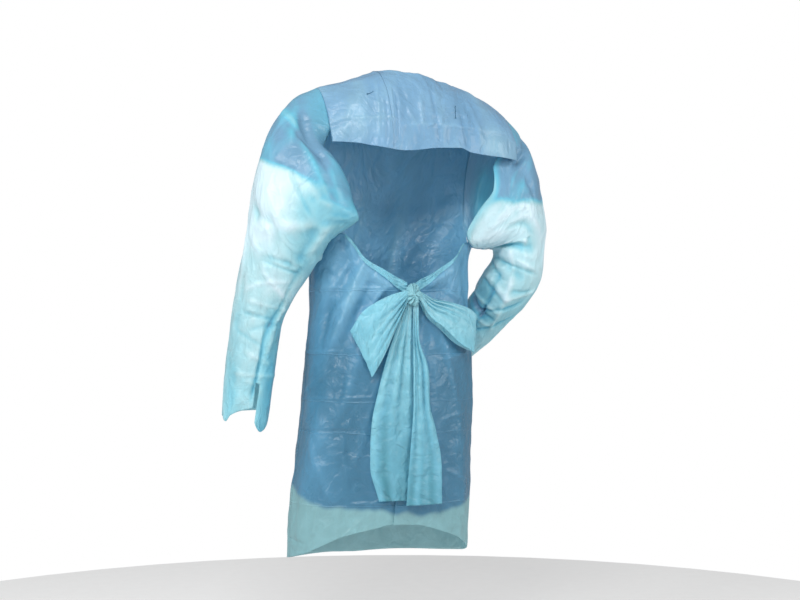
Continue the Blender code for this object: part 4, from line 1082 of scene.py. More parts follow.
def loop_grid(side, columns, rows):
    """Grid of a bow loop: one strip that goes out from the knot, turns back on itself and returns."""
    table = LOOP_LEFT if side > 0 else LOOP_RIGHT
    round_share = np.linspace(0, 1, columns + 1)
    reach = np.sin(np.pi * round_share)
    over = -np.cos(np.pi * round_share)
    across = np.linspace(0, 1, rows + 1)[:, None]
    column = {name: table_curve(table, name, reach) for name in LoopRow._fields[1:]}
    angle = column["upper_angle"] + (column["lower_angle"] - column["upper_angle"]) * across
    rise = column["upper_rise"] + (column["lower_rise"] - column["upper_rise"]) * across
    lift = np.broadcast_to(column["lift"] + column["half_thick"] * over, angle.shape)
    points = body_lifted(angle, rise, lift)
    spread, thick = np.broadcast_arrays(ROOT_SPREAD * (1 - 2 * across), ROOT_THICK * over)
    root = knot_shape(np.stack([side * np.sqrt(1 - spread**2 - thick**2), thick, spread], axis=-1))
    root[..., 0] += side * ROOT_GAP
    hold = (1 - reach)[None, :, None] ** 3
    points = points + hold * (root - points[:, :1])
    drawn = across if side > 0 else 1 - across
    pleat = LOOP_PLEAT * np.sin(2 * np.pi * LOOP_PLEATS * drawn**LOOP_BUNCH + side)
    pleat = pleat * (LOOP_PLEAT_LOW + (1 - LOOP_PLEAT_LOW) * drawn)
    pleat = pleat * smooth_step(reach / LOOP_PLEAT_START) * over * (1 - reach) ** LOOP_PLEAT_FADE[side]
    dents = crumple(across * LOOP_WIDTH, round_share[None, :] * LOOP_LENGTH, LOOP_SEED + side)
    creased = pleat + dents * smooth_step(reach / LOOP_CRUMPLE_START)
    points = points + sheet_normals(points) * creased[..., None]
    creased = creased * np.sign(over)
    return (points, creased) if side > 0 else (points[::-1], creased[::-1])


def tail_grid(side, columns, rows):
    """Grid of a bow tail, pleated lengthwise, from its lower end up to the knot."""
    table = TAIL_LEFT if side > 0 else TAIL_RIGHT
    up = np.linspace(0, 1, rows + 1)[:, None]
    rise = table[0].rise + (table[-1].rise - table[0].rise) * up
    left, right = table_curve(table, "left", rise), table_curve(table, "right", rise)
    across = np.linspace(0, 1, columns + 1)
    angle = left + (right - left) * across
    closing = 1 - up**TAIL_CLOSE
    pleat = TAIL_PLEAT_DEPTH * np.sin(2 * np.pi * TAIL_PLEATS * across + TAIL_PLEAT_START) * closing
    pleat = pleat * (TAIL_PLEAT_LOW + (1 - TAIL_PLEAT_LOW) * smooth_step(up / TAIL_PLEAT_FULL))
    fine = lattice_noise(across * TAIL_FINE[0] + 0 * up, up * TAIL_FINE[1] + 0 * across, TAIL_SEED + side)
    gathered = smooth_step((up - TAIL_FINE_START) / TAIL_FINE_RISE) * (1 - up**TAIL_FINE_CLOSE)
    pleat = pleat + TAIL_FINE_DEPTH * fine * gathered
    pleat = pleat + crumple(across * TAIL_WIDTH, up * TAIL_LENGTH, TAIL_SEED + side) * closing
    lift = table_curve(table, "lift", rise) + pleat
    return body_lifted(angle, np.broadcast_to(rise, angle.shape), lift), pleat


# How many steps each piece of film has for every one of its solid.
FINE_ACROSS = 7
FINE_UP = 12
WING_UP = 20
YOKE_ACROSS = 12
YOKE_UP = 18
SLEEVE_ACROSS = 5
BOW_ACROSS = 8
BOW_UP = 10
TIE_UP = 4
KNOT_STEPS = (120, 80)


def finer(values, times):
    """A row of places with each step cut into the same number of smaller ones."""
    places = np.arange(len(values) - 1)[:, None] + np.linspace(0, 1, times + 1)[None, :-1]
    return np.interp(np.append(places.ravel(), len(values) - 1), np.arange(len(values)), values)


def linear(hex_colour):
    """Linear colour from an sRGB hex value."""
    parts = [int(hex_colour[i:i + 2], 16) / 255 for i in (1, 3, 5)]
    return tuple(p / 12.92 if p <= 0.04045 else ((p + 0.055) / 1.055) ** 2.4 for p in parts)


def per_mm(size):
    """Texture scale whose repeat is this many millimetres, over coordinates in metres."""
    return 1000 / size


def add(tree, kind, inputs=(), links=(), **settings):
    """Adds one node with its settings, its input values and its links.

    A link comes from an output, or from a node, which then stands for its first output.
    """
    node = tree.nodes.new(kind)
    for name, value in settings.items():
        setattr(node, name, value)
    for socket, value in dict(inputs).items():
        node.inputs[socket].default_value = value
    for socket, source in dict(links).items():
        output = source.outputs[0] if isinstance(source, bpy.types.Node) else source
        tree.links.new(output, node.inputs[socket])
    return node


# The film is low-density polyethylene, blown thin and tinted blue. It lets light through, so it looks
# pale where it is one layer over light and deep where layers lie behind each other; the tones below
# paint that in, so their deep blues are painted shade. Its faces are smooth from the blowing, with a
# soft gloss that every crease and dent breaks up.
FILM_IOR = 1.51
BODY_TONES = ("#A4D2E4", "#8CC2DA", "#78B2D0", "#629FC0", "#4E86A4")
YOKE_TONES = ("#A3CDDC", "#86B2D0", "#6F9FC0")
SLEEVE_TONES = ("#E3F4F9", "#C4E6EB", "#9FD9E4", "#7ACADF", "#7FADC9")
TIE_TONES = ("#C3EEF5", "#9FDEEB", "#84C9DC", "#60A6B6")
# Share of the see-through that the film keeps where it doesn't hang over light alone.
PANEL_CLEAR = 0.3
SLEEVE_CLEAR = 0.5
TIE_CLEAR = 1.1
KNOT_CLEAR = 0.1
# How much more the film of the sleeves and ties is crumpled, how much smoother the ties' faces are and
# how much of the light that soaks through the film gets through the knot.
SLEEVE_CRUMPLE = 1.5
TIE_CRUMPLE = 2.6
TIE_SMOOTHER = 0.07
KNOT_SOAK = 0.25

# Patterns of the film, by their size in millimetres: cloudy thick and thin places of the blown film,
# a slow warp that bends the creases by up to this many metres, the facets between the sharp folds of
# handling, the patches where the small facets show, ridges, and the film's own grain. The grain is
# finer in life, and drawn at 1.5 mm to show.
CLOUD_MM = 70
WARP_MM = 60
WARP_REACH = (0.09, 0.05, 0.0)
LARGE_FACET_MM = 48
SMALL_FACET_MM = 17
PATCH_MM = 110
PATCH_FROM = 0.42
PATCH_FULL = 0.60
RIDGE_MM = 38
GRAIN_MM = 1.5
# How much of each pattern goes into the relief, and into how pale the film is. The paler ridges and
# packing folds are partly the whitening of creased film and partly painted highlight.
LARGE_RELIEF = 0.85
SMALL_RELIEF = 0.28
RIDGE_RELIEF = 0.16
GRAIN_RELIEF = 0.02
PRESSED_RELIEF = 0.18
RELIEF_DEPTH = 0.007
PALE_BASE = 0.82
CLOUD_PALE = 0.30
RIDGE_PALE_AND_HIGHLIGHT = 0.05
PRESSED_PALE_AND_HIGHLIGHT = 0.14
# The gloss follows the cloud: sharper in its thin places, from this much to this much off the setting.
GLOSS_FROM = 0.3
GLOSS_FULL = 0.7
GLOSS_SHARPER = 0.05
GLOSS_DULLER = 0.08
# Level folds of the packing, by their height on the body, and how far the warp sways them.
PACKING_FOLDS = (-0.498, -0.641, -0.746, -0.817, -0.977)
PACKING_WIDTH = 0.0022
PACKING_SWAY = 0.012


def near_folds(tree, height, levels):
    """Distance of a height from the nearest of some levels, in metres."""
    nearest = None
    for level in levels:
        away = add(tree, "ShaderNodeMath", {1: level}, {0: height}, operation="SUBTRACT")
        away = add(tree, "ShaderNodeMath", links={0: away}, operation="ABSOLUTE")
        if nearest is not None:
            away = add(tree, "ShaderNodeMath", links={0: away, 1: nearest}, operation="MINIMUM")
        nearest = away
    return nearest


def weighted(tree, parts):
    """Sum of some heights, each times its own weight."""
    total = None
    for height, weight in parts:
        links = {0: height} if total is None else {0: height, 2: total}
        total = add(tree, "ShaderNodeMath", {1: weight, 2: 0.0}, links, operation="MULTIPLY_ADD")
    return total


def film_patterns(tree, folds):
    """The film's relief, how pale it makes the film, and the cloud of its thick and thin places."""
    place = add(tree, "ShaderNodeUVMap")
    cloud = add(tree, "ShaderNodeTexNoise", {"Scale": per_mm(CLOUD_MM), "Detail": 4.0, "Roughness": 0.6},
                {"Vector": place})
    warp = add(tree, "ShaderNodeTexNoise", {"Scale": per_mm(WARP_MM), "Detail": 3.0}, {"Vector": place})
    bent = add(tree, "ShaderNodeVectorMath", {1: WARP_REACH}, {0: warp.outputs["Color"], 2: place},
               operation="MULTIPLY_ADD")
    large = add(tree, "ShaderNodeTexVoronoi", {"Scale": per_mm(LARGE_FACET_MM)}, {"Vector": bent},
                feature="DISTANCE_TO_EDGE")
    small = add(tree, "ShaderNodeTexVoronoi", {"Scale": per_mm(SMALL_FACET_MM)}, {"Vector": bent},
                feature="DISTANCE_TO_EDGE")
    patch = add(tree, "ShaderNodeTexNoise", {"Scale": per_mm(PATCH_MM), "Detail": 1.0}, {"Vector": place})
    where = add(tree, "ShaderNodeMapRange", {"From Min": PATCH_FROM, "From Max": PATCH_FULL},
                {"Value": patch})
    small_there = add(tree, "ShaderNodeMath", links={0: small, 1: where}, operation="MULTIPLY")
    ridges = add(tree, "ShaderNodeTexNoise", {"Scale": per_mm(RIDGE_MM), "Detail": 5.0, "Roughness": 0.55,
                                              "Lacunarity": 2.1, "Offset": 0.9, "Gain": 1.6},
                 {"Vector": bent}, noise_type="RIDGED_MULTIFRACTAL")
    grain = add(tree, "ShaderNodeTexNoise", {"Scale": per_mm(GRAIN_MM), "Detail": 2.0}, {"Vector": place})
    relief = [(large, LARGE_RELIEF), (small_there, SMALL_RELIEF), (ridges, RIDGE_RELIEF),
              (grain, GRAIN_RELIEF)]
    # Paler along the ridges and the packing folds: whitening of creased film with painted highlight.
    pale = [(cloud, CLOUD_PALE), (ridges, RIDGE_PALE_AND_HIGHLIGHT)]
    if folds:
        whole_place = add(tree, "ShaderNodeTexCoord")
        height = add(tree, "ShaderNodeSeparateXYZ", links={"Vector": whole_place.outputs["Object"]})
        sway = add(tree, "ShaderNodeMath", {1: PACKING_SWAY}, {0: warp, 2: height.outputs["Z"]},
                   operation="MULTIPLY_ADD")
        pressed = add(tree, "ShaderNodeMapRange",
                      {"From Max": PACKING_WIDTH, "To Min": 1.0, "To Max": 0.0},
                      {"Value": near_folds(tree, sway, folds)}, interpolation_type="SMOOTHSTEP")
        relief.append((pressed, PRESSED_RELIEF))
        pale.append((pressed, PRESSED_PALE_AND_HIGHLIGHT))
    light = add(tree, "ShaderNodeMath", {1: PALE_BASE}, {0: weighted(tree, pale)}, operation="ADD")
    return weighted(tree, relief), light, cloud


def film(name, tones, clear, folds=(), crumple=1.0, soak=1.0, smoother=0.0):
    """Blown polyethylene film, made once. Its tones run by Depth, deep where shade is painted; Lit says
    where it hangs over light.
    """
    if name in bpy.data.materials:
        return bpy.data.materials[name]
    settings = bpy.context.scene.film_settings
    material = bpy.data.materials.new(name)
    material.use_nodes = True
    tree = material.node_tree
    tree.nodes.clear()
    depth = add(tree, "ShaderNodeAttribute", attribute_name="Depth").outputs["Fac"]
    lit = add(tree, "ShaderNodeAttribute", attribute_name="Lit").outputs["Fac"]
    ramp = add(tree, "ShaderNodeValToRGB", links={"Fac": depth})
    stops = ramp.color_ramp.elements
    for share in np.linspace(0, 1, len(tones))[1:-1]:
        stops.new(share)
    for stop, hex_colour in zip(stops, tones):
        stop.color = (*linear(hex_colour), 1)
    tone = add(tree, "ShaderNodeMixRGB", {"Color2": (*settings.lit_tone, 1)}, {"Fac": lit, "Color1": ramp})
    relief, light, cloud = film_patterns(tree, folds)
    tint = add(tree, "ShaderNodeVectorMath", links={"Vector": tone, "Scale": light}, operation="SCALE")
    bump = add(tree, "ShaderNodeBump", {"Strength": settings.crinkle, "Distance": RELIEF_DEPTH * crumple},
               {"Height": relief})
    roughness = settings.roughness - smoother
    gloss = add(tree, "ShaderNodeMapRange",
                {"From Min": GLOSS_FROM, "From Max": GLOSS_FULL,
                 "To Min": roughness - GLOSS_SHARPER, "To Max": roughness + GLOSS_DULLER},
                {"Value": cloud})
    face = add(tree, "ShaderNodeBsdfPrincipled", {"IOR": FILM_IOR},
               {"Base Color": tint, "Roughness": gloss, "Normal": bump})
    glow = add(tree, "ShaderNodeBsdfTranslucent", links={"Color": tint, "Normal": bump})
    body = add(tree, "ShaderNodeMixShader", {"Fac": settings.glow * soak}, {1: face, 2: glow})
    through = add(tree, "ShaderNodeBsdfTransparent", {"Color": (*settings.through_tone, 1)})
    clearness = add(tree, "ShaderNodeMapRange",
                    {"To Min": clear * settings.see_through, "To Max": settings.see_through},
                    {"Value": lit})
    whole = add(tree, "ShaderNodeMixShader", links={"Fac": clearness, 1: body, 2: through})
    add(tree, "ShaderNodeOutputMaterial", links={"Surface": whole})
    return material


def body_film():
    """Film of the panels on the body, with the level folds of the packing."""
    return film("polyethylene_film_blue", BODY_TONES, PANEL_CLEAR, folds=PACKING_FOLDS)


def yoke_film():
    """Film of the yoke."""
    return film("polyethylene_film_yoke", YOKE_TONES, PANEL_CLEAR)


def sleeve_film():
    """Film of the sleeves."""
    return film("polyethylene_film_pale", SLEEVE_TONES, SLEEVE_CLEAR, crumple=SLEEVE_CRUMPLE)


def tie_film():
    """Film of the ties, the loops and the tails, gathered by hand."""
    return film("polyethylene_film_gathered", TIE_TONES, TIE_CLEAR, crumple=TIE_CRUMPLE,
                smoother=TIE_SMOOTHER)


def knot_film():
    """Film of the knot, whose layers, wound on each other, let next to no light through."""
    return film("polyethylene_film_knot", TIE_TONES, KNOT_CLEAR, crumple=TIE_CRUMPLE, soak=KNOT_SOAK,
                smoother=TIE_SMOOTHER)


# Vertices of a sheet this near to each other, in metres, are one.
WELD = 1e-6


def sheet(name, points, material, depth, lit=0.0, wrap=False, cut=None):
    """A sheet of film: a grid moved to its worn points, less its cuts, with its wall grown inwards."""
    settings = bpy.context.scene.film_settings
    rows, columns = points.shape[0] - 1, points.shape[1] - 1
    bpy.ops.object.select_all(action="DESELECT")
    bpy.ops.mesh.primitive_grid_add(x_subdivisions=columns, y_subdivisions=rows, size=2)
    piece = bpy.context.active_object
    piece.name = piece.data.name = name
    mesh = piece.data
    flat = np.empty(len(mesh.vertices) * 3)
    mesh.vertices.foreach_get("co", flat)
    flat = flat.reshape(-1, 3)
    column = np.rint((flat[:, 0] + 1) / 2 * columns).astype(int)
    row = np.rint((flat[:, 1] + 1) / 2 * rows).astype(int)
    mesh.vertices.foreach_set("co", points[row, column].ravel())
    for look, values in (("Depth", depth), ("Lit", lit)):
        shade = mesh.attributes.new(look, "FLOAT", "POINT")
        shade.data.foreach_set("value", np.broadcast_to(values, points.shape[:2])[row, column].ravel())
    lay_uv(mesh, points, row, column)
    if cut is not None or wrap:
        work = bmesh.new()
        work.from_mesh(mesh)
        if cut is not None:
            gone = [face for face in work.faces if cut[face_cell(face, row, column)]]
            bmesh.ops.delete(work, geom=gone, context="FACES")
        if wrap:
            bmesh.ops.remove_doubles(work, verts=work.verts, dist=WELD)
        work.to_mesh(mesh)
        work.free()
    mesh.shade_smooth()
    mesh.materials.append(material)
    wall = piece.modifiers.new("Wall", "SOLIDIFY")
    wall.thickness = settings.wall
    wall.offset = -1
    return piece


def face_cell(face, row, column):
    """Row and column of a grid's face, from those of its vertices."""
    numbers = [vert.index for vert in face.verts]
    return min(row[numbers]), min(column[numbers])


def lay_uv(mesh, points, row, column):
    """Lays the film's own map on a sheet, in metres along its middle row and column."""
    middle_row, middle_column = points[points.shape[0] // 2], points[:, points.shape[1] // 2]
    across = np.append(0, np.cumsum(np.linalg.norm(np.diff(middle_row, axis=0), axis=1)))
    along = np.append(0, np.cumsum(np.linalg.norm(np.diff(middle_column, axis=0), axis=1)))
    corner = np.empty(len(mesh.loops), int)
    mesh.loops.foreach_get("vertex_index", corner)
    place = np.stack([across[column[corner]], along[row[corner]]], axis=-1)
    mesh.uv_layers.active.data.foreach_set("uv", place.ravel())


def finish(piece, node, slot, **cloth):
    """The piece rides on the body and stands for its solid, which is hidden."""
    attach(piece, "root")
    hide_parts(node)


# Film is painted deeper in a crease and paler on a ridge, by this much for each metre: partly for the
# film that the crease draws together, partly as painted shade in the trough and painted highlight on the
# ridge.
CREASE_SHADE_TONE = 22.0
BOW_CREASE_SHADE_TONE = 48.0
SLEEVE_CREASE_SHADE_TONE = 50.0
# The band along the hem that hangs over light alone: its upper edge, how soft and how wavy it is, and
# the degrees of one wave.
HEM_BAND_ANGLES = (0, 90, 120, 150, 180, 215, 240, 270, 360)
HEM_BAND_RISES = (-0.960, -0.950, -0.985, -0.990, -1.000, -1.010, -0.985, -0.970, -0.960)
HEM_BAND_SOFT = 0.014
HEM_BAND_WAVE = 0.006
HEM_BAND_STEP = 9.0
# The body's tone: how deep it is at the top, how much deeper it gets lower down and how much of that
# again on the right, a painted shade on the side turned from the key light, and the clouds in it, by their
# degrees and metres.
BODY_DEPTH = 0.52
BODY_DEEPER = 0.45
BODY_TONE_TOP = -0.46
BODY_TONE_DROP = 0.26
BODY_RIGHT_START = 200.0
BODY_RIGHT_SPREAD = 40.0
BODY_RIGHT_SHADE = 1 / 3
BODY_CLOUD = 0.10
BODY_CLOUD_SIZE = (22.0, 0.12)
YOKE_DEPTH = 0.50
YOKE_CREASE_SHADE_TONE = 44.0
YOKE_CLOUD = 0.22
YOKE_CLOUD_SIZE = (20.0, 0.07)


def body_lit(angle, rise):
    """Where the body's film hangs over light alone: a band along the hem, with an uneven edge."""
    edge = np.interp(np.mod(angle, 360), HEM_BAND_ANGLES, HEM_BAND_RISES)
    edge = edge + HEM_BAND_WAVE * lattice_noise(angle / HEM_BAND_STEP, rise * 0 + NOISE_ROW, BODY_SEED)
    return 1 - smooth_step((rise - edge) / HEM_BAND_SOFT + 0.5)


def body_depth(angle, rise):
    """How deep the blue of the body looks: deeper down, and deeper to the right and in its creases, where
    shade is painted; paler on its ridges, where a highlight is painted.
    """
    angle = np.mod(angle, 360)
    creased = body_fold_lift(BODY_FOLDS, angle, rise)
    down = smooth_step((BODY_TONE_TOP - rise) / BODY_TONE_DROP)
    right = smooth_step((angle - BODY_RIGHT_START) / BODY_RIGHT_SPREAD)
    cloud = lattice_noise(angle / BODY_CLOUD_SIZE[0], rise / BODY_CLOUD_SIZE[1], BODY_SEED)
    depth = BODY_DEPTH + BODY_DEEPER * down * (1 + BODY_RIGHT_SHADE * right) + BODY_CLOUD * cloud
    return np.clip(depth - CREASE_SHADE_TONE * creased, 0, 1)


class FilmSettings(bpy.types.PropertyGroup):
    """Size, finish and colours of the film."""

    wall: bpy.props.FloatProperty(
        name="Wall", description="Thickness that the film is drawn with", default=0.0004, min=0.0001,
        max=0.0012, unit="LENGTH",
    )
    roughness: bpy.props.FloatProperty(
        name="Roughness", description="Roughness of the film's faces", default=0.30, min=0.0, max=1.0,
        subtype="FACTOR",
    )
    crinkle: bpy.props.FloatProperty(
        name="Crinkle", description="Strength of the fine crinkle", default=0.7, min=0.0, max=1.0,
        subtype="FACTOR",
    )
    glow: bpy.props.FloatProperty(
        name="Glow", description="Share of the light that soaks through the film", default=0.35, min=0.0,
        max=1.0, subtype="FACTOR",
    )
    see_through: bpy.props.FloatProperty(
        name="See-through", description="Share of the light that passes straight through", default=0.26,
        min=0.0, max=1.0, subtype="FACTOR",
    )
    lit_tone: bpy.props.FloatVectorProperty(
        name="Tone over light", description="Colour of the film where it hangs over light alone",
        default=linear("#98C2C7"), min=0.0, max=1.0, subtype="COLOR",
    )
    through_tone: bpy.props.FloatVectorProperty(
        name="Tint", description="Colour of the light that passes straight through",
        default=linear("#DDF3F8"), min=0.0, max=1.0, subtype="COLOR",
    )


class StageSettings(bpy.types.PropertyGroup):
    """Sizes and lights of the studio."""

    floor_height: bpy.props.FloatProperty(
        name="Floor height", description="Height of the floor under the garment", default=-1.46,
        unit="LENGTH",
    )
    key_power: bpy.props.FloatProperty(
        name="Key light", description="Power of the large light beside the camera", default=62.0, min=0.0,
        unit="POWER",
    )
    fill_power: bpy.props.FloatProperty(
        name="Fill light", description="Power of the light on the other side", default=45.0, min=0.0,
        unit="POWER",
    )
    front_power: bpy.props.FloatProperty(
        name="Front light", description="Power of the light over the camera", default=60.0, min=0.0,
        unit="POWER",
    )
    sky: bpy.props.FloatProperty(
        name="Sky", description="Brightness of the white all round", default=0.55, min=0.0,
    )


class APRON_OT_front(bpy.types.Operator):
    """Builds the front panel, from the shoulder seams down to the hem"""

    bl_idname = "apron.front"
    bl_label = "Front panel"

    def execute(self, context):
        counts = [count * FINE_UP for count in FRONT_ROWS]
        points, angle, rise = front_grid(counts, FRONT_COLUMNS * FINE_ACROSS)
        piece = sheet("body_front_film", points, body_film(), body_depth(angle, rise),
                      body_lit(angle, rise))
        finish(piece, "body_front", "body_film", flat=(0.66, 1.13), held="hung", area=0.62)
        return {"FINISHED"}


# The two small slits in the yoke, each one face of its grid wide.
Slit = namedtuple("Slit", "angle_a rise_a angle_b rise_b")
YOKE_SLITS = (
    Slit(127.5, -0.0885, 132.0, -0.0850),
    Slit(218.0, -0.1040, 216.5, -0.1260),
)
SLIT_STEPS = 60


def yoke_slits(angle, rise):
    """Faces of the yoke's grid that its slits leave out."""
    middle_angle = (angle[1:, 1:] + angle[:-1, :-1]) / 2
    middle_rise = (rise[1:, 1:] + rise[:-1, :-1]) / 2
    cut = np.zeros(middle_angle.shape, bool)
    for slit in YOKE_SLITS:
        for share in np.linspace(0, 1, SLIT_STEPS):
            across = middle_angle - (slit.angle_a + (slit.angle_b - slit.angle_a) * share)
            along = middle_rise - (slit.rise_a + (slit.rise_b - slit.rise_a) * share)
            away = np.hypot(across * np.radians(FOLD_RADIUS), along)
            cut[np.unravel_index(np.argmin(away), away.shape)] = True
    return cut


class APRON_OT_yoke(bpy.types.Operator):
    """Builds the yoke across the shoulder blades with its two small slits"""

    bl_idname = "apron.yoke"
    bl_label = "Back yoke"

    def execute(self, context):
        columns = [count * YOKE_ACROSS for count in YOKE_COLUMNS]
        points, angle, rise = yoke_grid(columns, YOKE_ROWS * YOKE_UP)
        cloud = lattice_noise(angle / YOKE_CLOUD_SIZE[0], rise / YOKE_CLOUD_SIZE[1], BODY_SEED)
        creased = body_fold_lift(YOKE_FOLDS, angle, rise)
        # Creases painted deeper and ridges paler: painted shade and painted highlight over the relief.
        depth = np.clip(YOKE_DEPTH + YOKE_CLOUD * cloud - YOKE_CREASE_SHADE_TONE * creased, 0, 1)
        piece = sheet("back_yoke_film", points, yoke_film(), depth, cut=yoke_slits(angle, rise))
        finish(piece, "back_yoke", "body_film", flat=(0.50, 0.19), held="hung", area=0.093)
        return {"FINISHED"}


class APRON_OT_wings(bpy.types.Operator):
    """Builds the two back wings; the right one laps over the left one below the bow"""

    bl_idname = "apron.wings"
    bl_label = "Back wings"

    def execute(self, context):
        for side, word in SIDES:
            points, angle, rise = wing_grid(side, WING_COLUMNS * FINE_ACROSS, WING_ROWS * WING_UP)
            piece = sheet(f"back_wing_{word}_film", points, body_film(), body_depth(angle, rise),
                          body_lit(angle, rise))
            finish(piece, f"back_wing_{word}", "body_film", flat=(0.32, 0.70), held="hung", area=0.20)
        return {"FINISHED"}


# Edges between the tones of a sleeve's cap. Each is a straight cut through the sleeve, level along one
# turn round the garment: a place across that turn, its height there and how it falls across. The first
# edge parts the deep cap from the pale sleeve, and the second is the cap's fold, which is paler. The deep
# cap stands for the dark layer under the film there, and is painted shade below the fold.
CAP_TURN = np.radians(160)
CapEdge = namedtuple("CapEdge", "across height fall")
CAP_EDGE_LEFT = CapEdge(-0.306, -0.212, -0.45)
CAP_EDGE_RIGHT = CapEdge(0.280, -0.296, 0.04)
CAP_EDGE_SOFT = 0.024
CAP_EDGE_WAVE = 0.01
CAP_FOLD_LEFT = CapEdge(-0.262, -0.110, -1.02)
CAP_FOLD_RIGHT = CapEdge(0.290, -0.150, 0.90)
CAP_FOLD_SOFT = 0.016
CAP_FOLD_DEPTH = 0.86
CAP_SHADE_DEPTH = 0.98
# On the front, past this share of the way round, the deep cap ends this share of the way down; there it
# is painted shade inside the armhole. It comes and goes over the last two shares of the way round.
FRONT_TURN = 0.5
CAP_FRONT = 0.22
CAP_FRONT_SOFT = 0.06
CAP_FRONT_FADE = (0.08, 0.15)
# Tone down a sleeve, and the clouds in it: how strong, how much of that is left below the cap and how
# many there are round the sleeve and down it.
SleeveTone = namedtuple("SleeveTone", "station depth")
SLEEVE_TONES_LEFT = (
    SleeveTone(0.00, 0.05),
    SleeveTone(0.50, 0.04),
    SleeveTone(0.62, 0.20),
    SleeveTone(0.78, 0.34),
    SleeveTone(1.00, 0.46),
)
SLEEVE_TONES_RIGHT = (
    SleeveTone(0.00, 0.10),
    SleeveTone(0.36, 0.04),
    SleeveTone(0.56, 0.12),
    SleeveTone(0.70, 0.36),
    SleeveTone(1.00, 0.48),
)
SLEEVE_CLOUD = 0.16
SLEEVE_CLOUD_BELOW = 0.4
SLEEVE_CLOUDS = (8, 9)
# The cyan of the underside, a painted shade of the creases down the inside of the arm, by side: how deep,
# how wide and soft it is round the sleeve, as cosines of the turn from its middle, and where it fades out
# down the sleeve.
INNER_SHADE_DEPTH = {1: 0.48, -1: 0.12}
INNER_WIDTH = 0.30
INNER_SOFT = 0.60
INNER_FADE = (0.42, 0.24)
# The deeper inside of the forearm, painted shade of its creases: where it starts round the sleeve and
# down it, and how softly.
FOREARM_TURN = 0.20
FOREARM_SOFT = 0.08
FOREARM_START = 0.60
FOREARM_RISE = 0.1
FOREARM_SHADE = 0.26
# The blue along each sleeve's loose edge, painted shade where the edge tucks in: how deep, how far
# down the sleeve, and where round it.
LooseShade = namedtuple("LooseShade", "depth reach turn spread")
LOOSE_SHADE_LEFT = LooseShade(0.88, 0.22, 0.29, 0.10)
LOOSE_SHADE_RIGHT = LooseShade(0.50, 0.05, 0.33, 0.16)


def cap_share(side, points, turns, station, noise):
    """How far the deep tone of the cap, with its painted shade, covers a sleeve, and that tone."""
    edge = CAP_EDGE_LEFT if side > 0 else CAP_EDGE_RIGHT
    fold = CAP_FOLD_LEFT if side > 0 else CAP_FOLD_RIGHT
    across = points[..., 0] * np.cos(CAP_TURN) + points[..., 1] * np.sin(CAP_TURN)
    line = edge.height + edge.fall * (across - edge.across) + CAP_EDGE_WAVE * noise
    cap = smooth_step((points[..., 2] - line) / CAP_EDGE_SOFT + 0.5)
    over = points[..., 2] - fold.height - fold.fall * (across - fold.across)
    tone = CAP_SHADE_DEPTH + (CAP_FOLD_DEPTH - CAP_SHADE_DEPTH) * smooth_step(over / CAP_FOLD_SOFT + 0.5)
    tone = np.where(turns > FRONT_TURN, CAP_SHADE_DEPTH, tone)
    starts, ends = CAP_FRONT_FADE
    front = smooth_step((turns - FRONT_TURN) / starts) * smooth_step((1 - turns) / ends)
    return np.maximum(cap, front * (1 - smooth_step((station - CAP_FRONT) / CAP_FRONT_SOFT))), tone


def sleeve_depth(side, points, turns):
    """How deep the blue of a sleeve looks: deep on the cap, pale below it, cyan on the underside, with
    painted shade on the cap, the underside, the inside of the forearm and along the loose edge.
    """
    turns = turns[None, :]
    station = np.linspace(0, 1, points.shape[0])[:, None]
    tone = table_curve(SLEEVE_TONES_LEFT if side > 0 else SLEEVE_TONES_RIGHT, "depth", station)
    inner = smooth_step((np.cos(2 * np.pi * (turns - INNER_SHARE)) - INNER_WIDTH) / INNER_SOFT)
    inner = inner * (1 - smooth_step((station - INNER_FADE[0]) / INNER_FADE[1]))
    # Painted shade on the underside.
    tone = tone + (INNER_SHADE_DEPTH[side] - tone) * inner
    round_clouds, down_clouds = SLEEVE_CLOUDS
    noise = lattice_noise(turns * round_clouds + 0 * station, station * down_clouds,
                          LEFT_SEED if side > 0 else RIGHT_SEED)
    cap, cap_tone = cap_share(side, points, turns, station, noise)
    # The cap's deep tone, painted shade below its fold and inside the armhole.
    tone = tone + (cap_tone - tone) * cap
    forearm = smooth_step((turns - FOREARM_TURN) / FOREARM_SOFT) * (turns < FRONT_TURN)
    # Painted shade down the inside of the forearm.
    tone = tone + FOREARM_SHADE * forearm * smooth_step((station - FOREARM_START) / FOREARM_RISE)
    # Painted shade along the loose edge.
    blue = LOOSE_SHADE_LEFT if side > 0 else LOOSE_SHADE_RIGHT
    loose = np.exp(-(((turns - blue.turn) / blue.spread) ** 2)) * (1 - smooth_step(station / blue.reach))
    tone = tone + (blue.depth - tone) * loose
    cloud = SLEEVE_CLOUD * noise * (SLEEVE_CLOUD_BELOW + (1 - SLEEVE_CLOUD_BELOW) * cap)
    return np.clip(tone + cloud, 0, 1)


def thumb_cut(turns, rows):
    """Faces of a sleeve's grid that the thumb slit leaves out."""
    middle = (turns[:-1] + turns[1:]) / 2
    in_slit = (middle > THUMB_SLIT[0]) & (middle < THUMB_SLIT[1])
    down = (np.arange(rows) + 0.5) / rows > THUMB_SLIT_START
    return down[:, None] & in_slit[None, :]


